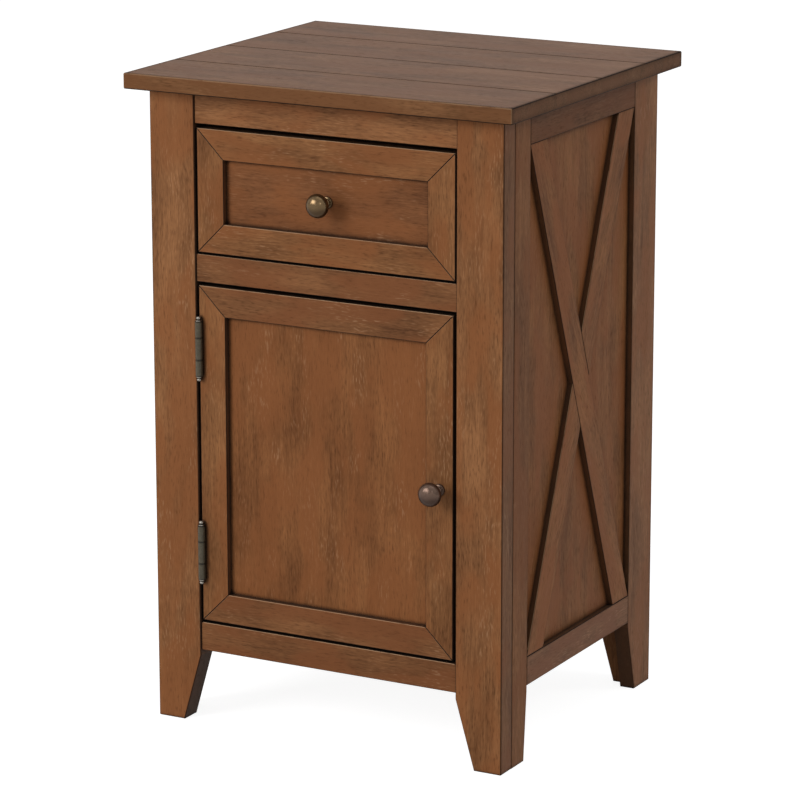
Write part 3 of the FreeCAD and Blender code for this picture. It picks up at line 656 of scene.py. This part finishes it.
@dataclass(frozen=True)
class StainedWood:
    """A stained and lacquered wood, with dark glaze and painted shade in its joints and recesses, and its
    free upper front arrises pale with wear and a painted highlight.

    dark, light and warm are the stained colours, and bare is the wood below it. pores, flecks, glaze, line,
    joint and wear each scale one effect, glaze with its painted shade and wear with its painted highlight,
    and the reaches say how far it works, in metres. upper is how level an arris has to be before it turns
    pale. plank_start and plank_pitch say where along Y the planks of a grooved board lie. plank_shift and
    seed_shift say how far apart in the figure two planks and two boards are.
    """

    dark: Colour = (0.094, 0.035, 0.012)
    light: Colour = (0.340, 0.148, 0.056)
    warm: Colour = (0.236, 0.084, 0.028)
    bare: Colour = (0.460, 0.280, 0.160)
    gloss: float = 0.50
    pores: float = 0.9
    flecks: float = 1.0
    glaze: float = 1.0
    glaze_reach: float = 0.006
    glaze_onset: float = 0.16
    edge_reach: float = 0.0045
    line: float = 0.35
    joint: float = 1.0
    wear: float = 1.0
    upper: float = 0.10
    relief: float = 0.20
    relief_depth: float = 0.0006
    shine: float = 0.08
    plank_start: float = 0.0
    plank_pitch: float = 0.0
    plank_shift: tuple[float, float] = (1.73, 0.91)
    seed_shift: Triple = (0.617, 0.231, 0.149)

    @staticmethod
    def turn(grain: Grain, slope: float) -> Triple:
        """The turn that lays the grain along X.

        Args:
            grain: Which way the grain runs.
            slope: The braces' angle from upright, in radians.

        Returns:
            The angles about X, Y and Z.
        """
        upright = math.pi / 2
        return {
            Grain.ACROSS: (0.0, 0.0, 0.0),
            Grain.DEPTH: (0.0, 0.0, -upright),
            Grain.UPRIGHT: (0.0, upright, 0.0),
            Grain.RISING: (slope, upright, 0.0),
            Grain.FALLING: (-slope, upright, 0.0),
        }[grain]

    def planks(self, graph: Graph, place: bpy.types.NodeSocket) -> bpy.types.NodeSocket:
        """Gives each plank between two grooves a figure of its own.

        Args:
            graph: The material's graph.
            place: The point on the board, with Y across the planks.

        Returns:
            The point, moved by a different amount on each plank.
        """
        number = graph.math("SUBTRACT", graph.split(place)["Y"], self.plank_start)
        number = graph.math("FLOOR", graph.math("DIVIDE", number, self.plank_pitch))
        along, through = self.plank_shift
        return graph.moved(place, X=graph.product(number, along), Z=graph.product(number, through))

    def material(self, name: str, effects: Effects, grain: Grain, shown: Shown, seed: int,
                 slope: float) -> bpy.types.Material:
        """Makes this finish for one board.

        Args:
            name: The material's name.
            effects: The shared shader groups.
            grain: Which way the board's grain runs.
            shown: Which of its faces stay unshaded, where the rest get painted shade.
            seed: A number that gives the board its own piece of the figure.
            slope: The braces' angle from upright, in radians.

        Returns:
            The material.
        """
        material, graph, shader = new_material(name)
        source = graph.add("ShaderNodeTexCoord")
        place, normal = source.outputs["Object"], source.outputs["Normal"]
        if self.plank_pitch:
            place = self.planks(graph, place)
        board = graph.add("ShaderNodeMapping")
        graph.feed(board.inputs["Vector"], place)
        board.inputs["Rotation"].default_value = self.turn(grain, slope)
        board.inputs["Location"].default_value = [seed * shift for shift in self.seed_shift]
        vector = board.outputs["Vector"]
        turned_normal = graph.add("ShaderNodeMapping", vector_type="VECTOR")
        graph.feed(turned_normal.inputs["Vector"], normal)
        turned_normal.inputs["Rotation"].default_value = self.turn(grain, slope)
        figure = graph.group(effects.figure, Vector=vector, Pores=self.pores, Flecks=self.flecks)
        patches = graph.group(effects.patches, Vector=vector)
        glaze = graph.group(effects.glaze, Vector=vector, Reach=self.glaze_reach, Onset=self.glaze_onset,
                            Amount=self.glaze)
        edges = graph.group(
            effects.edges, Vector=vector, Normal=normal, Turned=turned_normal.outputs["Vector"],
            Reach=self.edge_reach, Line=self.line, Joint=self.joint, Wear=self.wear, Upper=self.upper)
        front, left, right, level = shown.value
        faces = graph.group(effects.faces, Normal=normal, Front=front, Left=left, Right=right, Level=level)
        stain = graph.group(
            effects.stain, Tone=figure.outputs["Tone"], Fleck=figure.outputs["Fleck"],
            Pore=figure.outputs["Pore"], Depth=patches.outputs["Depth"],
            Warmth=patches.outputs["Warmth"], Glaze=glaze.outputs["Mask"], Line=edges.outputs["Line"],
            Rubbed=edges.outputs["Rubbed"], Side=faces.outputs["Side"],
            Dark=self.dark, Light=self.light, Warm=self.warm, Bare=self.bare, Gloss=self.gloss)
        graph.feed(shader.inputs["Base Color"], stain.outputs["Color"])
        graph.feed(shader.inputs["Roughness"], stain.outputs["Roughness"])
        shader.inputs["Specular IOR Level"].default_value = self.shine
        add_relief(graph, shader, figure.outputs["Relief"], self.relief, self.relief_depth)
        return material


@dataclass(frozen=True)
class AgedMetal:
    """A metal, or the catch's plastic, with cloudy tarnish and fine scratches.

    bright and dull are its colours with and without rubbing. cloud_size is how many clouds fit in a metre,
    seams is how far the dark edges reach in, in metres, and underside is how much shade is painted where it
    looks down.
    """

    bright: Colour
    dull: Colour
    gloss: float = 0.3
    tarnish: float = 0.5
    cloud_size: float = 300.0
    relief: float = 0.12
    relief_depth: float = 0.0002
    metallic: float = 1.0
    seams: float = 0.0
    underside: float = 0.0
    shine: float = 0.5
    coat: float = 0.0
    coat_gloss: float = 0.12

    def material(self, name: str, effects: Effects) -> bpy.types.Material:
        """Makes this finish.

        Args:
            name: The material's name.
            effects: The shared shader groups.

        Returns:
            The material.
        """
        material, graph, shader = new_material(name)
        source = graph.add("ShaderNodeTexCoord")
        place = source.outputs["Object"]
        seam: Operand = 0.0
        if self.seams:
            level = (0.0, 0.0, 1.0)
            edges = graph.group(
                effects.edges, Vector=place, Normal=level, Turned=level, Reach=self.seams, Line=1.0)
            seam = edges.outputs["Line"]
        tarnish = graph.group(
            effects.tarnish, Vector=place, Bright=self.bright, Dull=self.dull, Cloud_Size=self.cloud_size,
            Gloss=self.gloss, Amount=self.tarnish, Seam=seam, Normal=source.outputs["Normal"],
            Underside=self.underside)
        graph.feed(shader.inputs["Base Color"], tarnish.outputs["Color"])
        graph.feed(shader.inputs["Roughness"], tarnish.outputs["Roughness"])
        shader.inputs["Metallic"].default_value = self.metallic
        shader.inputs["Specular IOR Level"].default_value = self.shine
        shader.inputs["Coat Weight"].default_value = self.coat
        shader.inputs["Coat Roughness"].default_value = self.coat_gloss
        add_relief(graph, shader, tarnish.outputs["Relief"], self.relief, self.relief_depth)
        return material


@dataclass(frozen=True)
class Woods:
    """The table's woods, named by where they are, or copies of the walnut: lit is lighter with painted light,
    dusky is darker, and shaded is darker with painted shadow.
    """

    walnut: StainedWood = StainedWood()
    legs: StainedWood = StainedWood(
        dark=(0.102, 0.039, 0.0145), light=(0.370, 0.165, 0.067), warm=(0.257, 0.094, 0.033),
        edge_reach=0.006, line=0.75, joint=0.85, shine=0.06)
    # painted shade: a darker copy for the front stiles on the sides
    stiles: StainedWood = StainedWood(
        dark=(0.084, 0.031, 0.011), light=(0.305, 0.130, 0.050), warm=(0.210, 0.075, 0.026),
        shine=0.05, joint=0.6, flecks=0.4)
    # painted light: a lighter copy for the front top rail, which lifts the shadow below the top's overhang
    lit: StainedWood = StainedWood(
        dark=(0.104, 0.039, 0.014), light=(0.378, 0.166, 0.066), warm=(0.262, 0.094, 0.032))
    dusky: StainedWood = StainedWood(
        dark=(0.080, 0.030, 0.011), light=(0.290, 0.124, 0.049), warm=(0.200, 0.071, 0.026))
    # painted shadow: a darker copy for the side top rails, below the top's overhang
    shaded: StainedWood = StainedWood(
        dark=(0.064, 0.024, 0.009), light=(0.228, 0.097, 0.038), warm=(0.156, 0.056, 0.020),
        shine=0.05, flecks=0.2)
    braces: StainedWood = StainedWood(
        dark=(0.106, 0.038, 0.013), light=(0.375, 0.156, 0.056), warm=(0.262, 0.090, 0.030),
        shine=0.05, flecks=0.4, glaze=0.5)
    # a wide reach paints shade across the panel beside the braces and rails
    side_panels: StainedWood = StainedWood(
        dark=(0.100, 0.036, 0.012), light=(0.350, 0.146, 0.053), warm=(0.245, 0.084, 0.028),
        shine=0.05, flecks=0.3, glaze_reach=0.020, glaze_onset=0.02, glaze=0.9)
    top: StainedWood = StainedWood(
        dark=(0.064, 0.026, 0.010), light=(0.248, 0.114, 0.049), warm=(0.170, 0.071, 0.029),
        glaze=1.8, gloss=0.48, shine=0.04, flecks=0.3, pores=0.8, edge_reach=0.0095, line=0.75,
        wear=0.4, upper=-0.25)
    door_panel: StainedWood = StainedWood(dark=(0.094, 0.032, 0.010), light=(0.310, 0.124, 0.044))
    drawer_panel: StainedWood = StainedWood(dark=(0.080, 0.028, 0.010), light=(0.270, 0.106, 0.040))
    hidden: StainedWood = StainedWood(
        dark=(0.074, 0.032, 0.014), light=(0.215, 0.102, 0.046), warm=(0.150, 0.062, 0.026),
        gloss=0.6, wear=0.3)
    pale: StainedWood = StainedWood(
        dark=(0.36, 0.22, 0.11), light=(0.60, 0.42, 0.24), warm=(0.55, 0.34, 0.18), bare=(0.66, 0.5, 0.32),
        glaze=0.35, line=0.1, wear=0.3, gloss=0.5)


@dataclass(frozen=True)
class Metals:
    """The table's metals, and the catch's plastic."""

    zinc: AgedMetal = AgedMetal((0.55, 0.56, 0.58), (0.3, 0.3, 0.31), gloss=0.3, tarnish=0.3)
    plastic: AgedMetal = AgedMetal((0.10, 0.065, 0.042), (0.06, 0.04, 0.03), gloss=0.5, metallic=0.0)
    hinges: AgedMetal = AgedMetal(
        (0.092, 0.078, 0.052), (0.016, 0.012, 0.008), gloss=0.28, tarnish=0.35, metallic=0.15,
        seams=0.0022, shine=0.2)
    pins: AgedMetal = AgedMetal(
        (0.24, 0.22, 0.19), (0.04, 0.033, 0.026), gloss=0.14, tarnish=0.3, metallic=0.9)
    # underside paints shade on the knobs' lower halves
    brass: AgedMetal = AgedMetal(
        (0.150, 0.096, 0.045), (0.034, 0.017, 0.006), gloss=0.12, tarnish=0.4, metallic=0.8,
        underside=0.85, shine=0.3, coat=0.1)
    bronze: AgedMetal = AgedMetal(
        (0.122, 0.076, 0.055), (0.027, 0.013, 0.008), gloss=0.24, tarnish=0.4, metallic=0.8,
        underside=0.85, shine=0.3, coat=0.1)


class Workshop:
    """What every sub-assembly needs: the frame's nodes, the shared effects, and a count of the boards."""

    def __init__(self) -> None:
        """Builds the shared shader groups and starts the count of boards."""
        self.nodes: dict[str, bpy.types.Object] = frame["nodes"]
        self.effects = Effects()
        self.seed = 0
        self.slope = 0.0

    def board(self, node_name: str, wood: StainedWood, grain: Grain, shown: Shown = Shown.ALL) -> None:
        """Gives one wooden node a finish of its own.

        Args:
            node_name: The node.
            wood: Its wood.
            grain: Which way its grain runs.
            shown: Which of its faces stay unshaded, where the rest get painted shade.
        """
        self.seed += 1
        material = wood.material(f"{node_name}_wood", self.effects, grain, shown, self.seed, self.slope)
        self.dress(node_name, material)

    def dress(self, node_name: str, material: bpy.types.Material) -> None:
        """Puts a material on a node of the frame.

        Args:
            node_name: The node.
            material: The material.
        """
        for slot in self.nodes[node_name].material_slots:
            slot.material = material
        LOG.info("dressed %s", node_name)

    def keep(self, mesh: bmesh.types.BMesh, name: str, material: bpy.types.Material, body: str,
             replaced: Iterable[str] = ()) -> bpy.types.Object:
        """Turns a finished mesh into a piece of the table.

        Args:
            mesh: The mesh, in the table's own frame.
            name: The piece's name.
            material: Its finish.
            body: The body that it rides on.
            replaced: The nodes that it stands for.

        Returns:
            The new object.
        """
        data = bpy.data.meshes.new(name)
        mesh.to_mesh(data)
        mesh.free()
        data.materials.append(material)
        piece = bpy.data.objects.new(name, data)
        bpy.context.scene.collection.objects.link(piece)
        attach(piece, body)
        if replaced:
            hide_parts(*replaced)
        LOG.info("built %s on %s", name, body)
        return piece


def turned(profile: list[tuple[float, float]], origin: Vector, axis: Vector,
           facets: int) -> bmesh.types.BMesh:
    """Turns a profile about an axis, as on a lathe.

    Args:
        profile: Pairs of radius and distance along the axis, from one end on the axis to the other.
        origin: The point that distances are counted from.
        axis: The axis' direction.
        facets: How many facets go round.

    Returns:
        A closed mesh with its faces pointing out.
    """
    mesh = bmesh.new()
    side = axis.orthogonal().normalized()
    points = [mesh.verts.new(origin + axis * along + side * radius) for radius, along in profile]
    edges = [mesh.edges.new(pair) for pair in zip(points, points[1:])]
    bmesh.ops.spin(mesh, geom=points + edges, cent=origin, axis=axis, angle=math.tau, steps=facets,
                   use_merge=True)
    bmesh.ops.remove_doubles(mesh, verts=mesh.verts, dist=SAME_POINT)
    bmesh.ops.recalc_face_normals(mesh, faces=mesh.faces)
    soften(mesh, CREASE)
    return mesh


def soften(mesh: bmesh.types.BMesh, angle: float) -> None:
    """Shades faces smoothly, and keeps sharp edges sharp.

    Args:
        mesh: The mesh.
        angle: How far two faces turn before the edge between them is sharp, in radians.
    """
    for face in mesh.faces:
        face.smooth = True
    for edge in mesh.edges:
        edge.smooth = edge.calc_face_angle(0.0) < angle


def rounded(points: list[tuple[float, float]], smoothing: int) -> list[tuple[float, float]]:
    """Cuts the corners of an open profile a quarter of the way in, with its two ends kept.

    Args:
        points: The profile's points.
        smoothing: How many times the corners are cut.

    Returns:
        The smoother profile.
    """
    near, far = 0.75, 0.25
    for _ in range(smoothing):
        cut = [points[0]]
        for (r0, a0), (r1, a1) in zip(points, points[1:]):
            cut.append((r0 * near + r1 * far, a0 * near + a1 * far))
            cut.append((r0 * far + r1 * near, a0 * far + a1 * near))
        points = cut + [points[-1]]
    return points


@dataclass
class Knob:
    """A turned mushroom knob on a collar, which stands out of the front along -Y.

    The profiles are pairs of radius and distance from the front, in millimetres.
    """

    name: str
    body: str
    node: str
    slot: str
    finish: AgedMetal
    facets: int = 72
    smoothing: int = 2
    collar: Profile = ((0.0, 0.0), (5.6, 0.0), (6.2, 0.05), (6.2, 1.2), (5.9, 1.9), (5.0, 2.1))
    bead: Profile = ((4.4, 2.4), (4.6, 3.0), (4.8, 3.8), (4.5, 4.6), (3.9, 5.0))
    neck: Profile = ((3.5, 6.2), (3.4, 9.0), (3.6, 12.0), (4.4, 14.2))
    head: Profile = (
        (6.8, 15.6), (9.8, 16.6), (12.2, 18.2), (12.9, 20.4), (12.8, 22.6), (11.6, 25.4), (9.2, 27.8),
        (6.0, 29.4), (2.6, 30.0), (0.0, 30.0))

    def build(self, shop: Workshop) -> None:
        """Turns the knob in place of its node.

        Args:
            shop: The workshop.
        """
        low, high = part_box(self.node)
        origin = Vector(((low.x + high.x) / 2, high.y, (low.z + high.z) / 2))
        profile = [(radius / MM_PER_METRE, along / MM_PER_METRE)
                   for radius, along in self.collar + self.bead + self.neck + self.head]
        mesh = turned(rounded(profile, self.smoothing), origin, Vector((0, -1, 0)), self.facets)
        material = self.finish.material(f"{self.name}_metal", shop.effects)
        shop.keep(mesh, self.name, material, self.body, [self.node])


@dataclass
class TopBoard:
    """The grooved top. Its sizes are in metres."""

    woods: Woods
    front_to_groove: float = 0.101
    groove_pitch: float = 0.106

    def dress(self, shop: Workshop) -> None:
        """Gives each plank of the top its own figure.

        Args:
            shop: The workshop.
        """
        low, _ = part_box("top_panel")
        start = low.y + self.front_to_groove - self.groove_pitch
        wood = replace(self.woods.top, plank_start=start, plank_pitch=self.groove_pitch)
        shop.board("top_panel", wood, Grain.ACROSS, Shown.SLAB)


@dataclass
class Carcass:
    """The legs, the rails, the sides with their crossed braces, and the back."""

    woods: Woods

    @staticmethod
    def brace_slope() -> float:
        """How far the braces lean from upright, in radians.

        Returns:
            The angle of the side opening's diagonal.
        """
        low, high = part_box("brace_long_right")
        return math.atan2(high.y - low.y, high.z - low.z)

    def dress(self, shop: Workshop) -> None:
        """Dresses every board of the carcass.

        Args:
            shop: The workshop.
        """
        shop.slope = self.brace_slope()
        woods = self.woods
        for side, leg_faces, side_faces in (("left", Shown.FRONT_LEFT, Shown.LEFT),
                                            ("right", Shown.FRONT_RIGHT, Shown.RIGHT)):
            shop.board(f"front_leg_{side}", woods.legs, Grain.UPRIGHT, leg_faces)
            shop.board(f"back_leg_board_{side}", woods.legs, Grain.UPRIGHT, leg_faces)
            shop.board(f"side_stile_front_{side}", woods.stiles, Grain.UPRIGHT, side_faces)
            shop.board(f"side_stile_rear_{side}", woods.legs, Grain.UPRIGHT, side_faces)
            shop.board(f"side_top_rail_{side}", woods.shaded, Grain.DEPTH, side_faces)
            shop.board(f"side_bottom_rail_{side}", woods.dusky, Grain.DEPTH, side_faces)
            shop.board(f"side_panel_{side}", woods.side_panels, Grain.UPRIGHT)
            shop.board(f"brace_long_{side}", woods.braces, Grain.FALLING, side_faces)
            shop.board(f"brace_short_{side}", woods.braces, Grain.RISING, side_faces)
        shop.board("front_top_rail", woods.lit, Grain.ACROSS, Shown.FRONT)
        for name in ("front_mid_rail", "front_bottom_rail", "back_top_rail", "back_bottom_rail"):
            shop.board(name, woods.dusky, Grain.ACROSS, Shown.FRONT)


@dataclass
class FramedFront:
    """A door or drawer front: four mitred pieces round a recessed panel."""

    name: str
    upright_wood: StainedWood
    level_wood: StainedWood
    panel_wood: StainedWood
    panel_grain: Grain

    def dress(self, shop: Workshop) -> None:
        """Dresses the frame along its pieces, and the panel.

        Args:
            shop: The workshop.
        """
        for edge in ("top", "bottom"):
            shop.board(f"{self.name}_frame_{edge}", self.level_wood, Grain.ACROSS, Shown.FRONT)
        for edge in ("left", "right"):
            shop.board(f"{self.name}_frame_{edge}", self.upright_wood, Grain.UPRIGHT, Shown.FRONT)
        shop.board(f"{self.name}_panel", self.panel_wood, self.panel_grain)


@dataclass
class Inside:
    """What shows with the door and the drawer open."""

    woods: Woods
    metals: Metals
    board_grains: dict[str, Grain] = field(default_factory=lambda: {
        "floor_panel": Grain.ACROSS, "divider_panel": Grain.ACROSS, "shelf": Grain.ACROSS,
        "back_panel": Grain.UPRIGHT, "top_cleats": Grain.DEPTH, "slide_mounts": Grain.DEPTH})
    box_grains: dict[str, Grain] = field(default_factory=lambda: {
        "drawer_side_left": Grain.DEPTH, "drawer_side_right": Grain.DEPTH, "drawer_back": Grain.ACROSS,
        "drawer_bottom": Grain.ACROSS})
    metal_nodes: tuple[str, ...] = (
        "slide_cabinet_members", "slide_middle_members", "slide_drawer_members", "shelf_pins",
        "drawer_knob_screw", "door_knob_screw", "top_screws", "door_strike")

    def dress(self, shop: Workshop) -> None:
        """Dresses the boards, the drawer's box and the metal.

        Args:
            shop: The workshop.
        """
        for name, grain in self.board_grains.items():
            shop.board(name, self.woods.hidden, grain)
        for name, grain in self.box_grains.items():
            shop.board(name, self.woods.pale, grain)
        zinc = self.metals.zinc.material("zinc_plate", shop.effects)
        for name in self.metal_nodes:
            shop.dress(name, zinc)
        shop.dress("catch_body", self.metals.plastic.material("catch_plastic", shop.effects))


@dataclass
class Hinges:
    """The door's two butt hinges, each with a turned pin that ends in a ball at both ends.

    The barrel's height and the tip's profile, outwards from the barrel's end, are in millimetres.
    """

    metals: Metals
    nodes: tuple[str, ...] = (
        "hinge_leg_leaves", "hinge_door_leaves", "hinge_leg_screws", "hinge_door_screws")
    barrel: float = 60.0
    facets: int = 40
    smoothing: int = 1
    tip: Profile = (
        (0.0, 5.6), (1.1, 5.6), (2.3, 4.9), (2.9, 3.8), (2.6, 2.6), (1.6, 1.9), (1.6, 1.5), (3.1, 1.3),
        (3.4, 1.0), (3.4, 0.3), (3.0, 0.1), (1.6, 0.1))

    def build(self, shop: Workshop) -> None:
        """Dresses the leaves and the screws, and turns the pins.

        Args:
            shop: The workshop.
        """
        material = self.metals.hinges.material("hinge_gunmetal", shop.effects)
        for name in self.nodes:
            shop.dress(name, material)
        polished = self.metals.pins.material("hinge_pin_metal", shop.effects)
        shop.keep(self.pins(), "hinge_pins_turned", polished, "cabinet", ["hinge_pins"])

    def pins(self) -> bmesh.types.BMesh:
        """Turns both pins.

        Returns:
            A mesh with the two closed pins.
        """
        low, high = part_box("hinge_pins")
        bottom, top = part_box("hinge_leg_leaves")
        below = [(radius, -along) for radius, along in self.tip]
        above = [(radius, self.barrel + along) for radius, along in reversed(self.tip)]
        profile = [(radius / MM_PER_METRE, along / MM_PER_METRE)
                   for radius, along in rounded(below, self.smoothing) + rounded(above, self.smoothing)]
        axis = ((low.x + high.x) / 2, (low.y + high.y) / 2)
        both = bmesh.new()
        for start in (bottom.z, top.z - self.barrel / MM_PER_METRE):
            pin = turned(profile, Vector((*axis, start)), Vector((0, 0, 1)), self.facets)
            data = bpy.data.meshes.new("pin")
            pin.to_mesh(data)
            pin.free()
            both.from_mesh(data)
            bpy.data.meshes.remove(data)
        return both


@dataclass(frozen=True)
class Lamp:
    """A square soft lamp: where it hangs, how wide it is in metres, and its power in watts."""

    name: str
    place: Triple
    size: float
    power: float

    def hang(self, aim: Vector) -> None:
        """Hangs the lamp.

        Args:
            aim: The point that it faces.
        """
        data = bpy.data.lights.new(self.name, "AREA")
        data.size = self.size
        data.energy = self.power
        lamp = bpy.data.objects.new(self.name, data)
        lamp.location = self.place
        lamp.rotation_euler = (lamp.location - aim).to_track_quat("Z", "Y").to_euler()
        bpy.context.scene.collection.objects.link(lamp)


@dataclass
class Studio:
    """A pale floor, soft lamps and the camera, with lengths in metres and the lens in millimetres."""

    floor_size: float = 30.0
    floor_drop: float = 0.0004
    floor_roughness: float = 0.9
    camera_place: Triple = (1.96952, -3.63541, 1.39382)
    camera_turn: Triple = (1.3212713, 0.0009496, 0.4977141)
    lens: float = 176.6596
    sensor: float = 36.0
    ambient: float = 0.36
    floor_glow: float = 0.90
    floor_colour: Colour = (0.62, 0.62, 0.62)
    floor_colour_seen: Colour = (0.42, 0.42, 0.42)
    lamp_aim: Triple = (0.0, 0.0, 0.35)
    lamps: tuple[Lamp, ...] = (
        Lamp("key_lamp", (-2.2, -3.7, 2.1), 2.2, 104.0),
        Lamp("top_lamp", (0.3, -0.6, 3.6), 2.2, 12.5),
        Lamp("side_lamp", (2.3, 0.9, 2.1), 0.5, 8.0),
        Lamp("glint_lamp", (1.45, -2.9, 1.85), 0.5, 5.0),
    )

    def build(self) -> None:
        """Sets the whole studio up."""
        self.lay_floor()
        self.light_world()
        for lamp in self.lamps:
            lamp.hang(Vector(self.lamp_aim))
        self.place_camera()
        bpy.context.scene.view_settings.view_transform = "Standard"

    def lay_floor(self) -> None:
        """Lays a pale floor that reads as white where nothing shades it."""
        mesh = bmesh.new()
        bmesh.ops.create_grid(mesh, x_segments=1, y_segments=1, size=self.floor_size / 2,
                              matrix=Matrix.Translation((0, 0, -self.floor_drop)))
        data = bpy.data.meshes.new("floor")
        mesh.to_mesh(data)
        mesh.free()
        floor = bpy.data.objects.new("floor", data)
        bpy.context.scene.collection.objects.link(floor)
        data.materials.append(self.floor_material())

    def floor_material(self) -> bpy.types.Material:
        """A white floor that glows a little for the camera and in reflections.

        Returns:
            The material.
        """
        material, graph, shader = new_material("pale_floor")
        shader.inputs["Roughness"].default_value = self.floor_roughness
        shader.inputs["Specular IOR Level"].default_value = 0.0
        shader.inputs["Emission Color"].default_value = (1.0, 1.0, 1.0, 1.0)
        seen = graph.seen()
        graph.feed(shader.inputs["Base Color"], graph.blend(seen, self.floor_colour, self.floor_colour_seen))
        graph.feed(shader.inputs["Emission Strength"], graph.product(seen, self.floor_glow))
        return material

    def light_world(self) -> None:
        """Lights the table evenly, and shows white behind it."""
        world = bpy.data.worlds.new("studio")
        world.use_nodes = True
        bpy.context.scene.world = world
        graph = Graph(world.node_tree)
        background = world.node_tree.nodes["Background"]
        background.inputs["Color"].default_value = (1.0, 1.0, 1.0, 1.0)
        graph.feed(background.inputs["Strength"],
                   graph.math("MULTIPLY_ADD", graph.seen(), 1.0 - self.ambient, self.ambient))

    def place_camera(self) -> None:
        """Places the camera a little above the table, to the right of its front."""
        data = bpy.data.cameras.new("camera")
        data.sensor_width = self.sensor
        data.lens = self.lens
        camera = bpy.data.objects.new("camera", data)
        camera.location = self.camera_place
        camera.rotation_euler = self.camera_turn
        bpy.context.scene.collection.objects.link(camera)
        bpy.context.scene.camera = camera


def main() -> None:
    """Builds and dresses the table, sub-assembly by sub-assembly."""
    logging.basicConfig(level=logging.INFO, format="%(name)s: %(message)s")
    shop, woods, metals = Workshop(), Woods(), Metals()
    TopBoard(woods).dress(shop)
    Carcass(woods).dress(shop)
    FramedFront("drawer", woods.walnut, woods.walnut, woods.drawer_panel, Grain.ACROSS).dress(shop)
    FramedFront("door", woods.walnut, woods.dusky, woods.door_panel, Grain.UPRIGHT).dress(shop)
    Inside(woods, metals).dress(shop)
    Hinges(metals).build(shop)
    Knob("drawer_knob_turned", "drawer", "drawer_knob", "knob_brass", metals.brass).build(shop)
    Knob("door_knob_turned", "door", "door_knob", "knob_bronze", metals.bronze).build(shop)
    Studio().build()


if __name__ == "__main__":
    main()
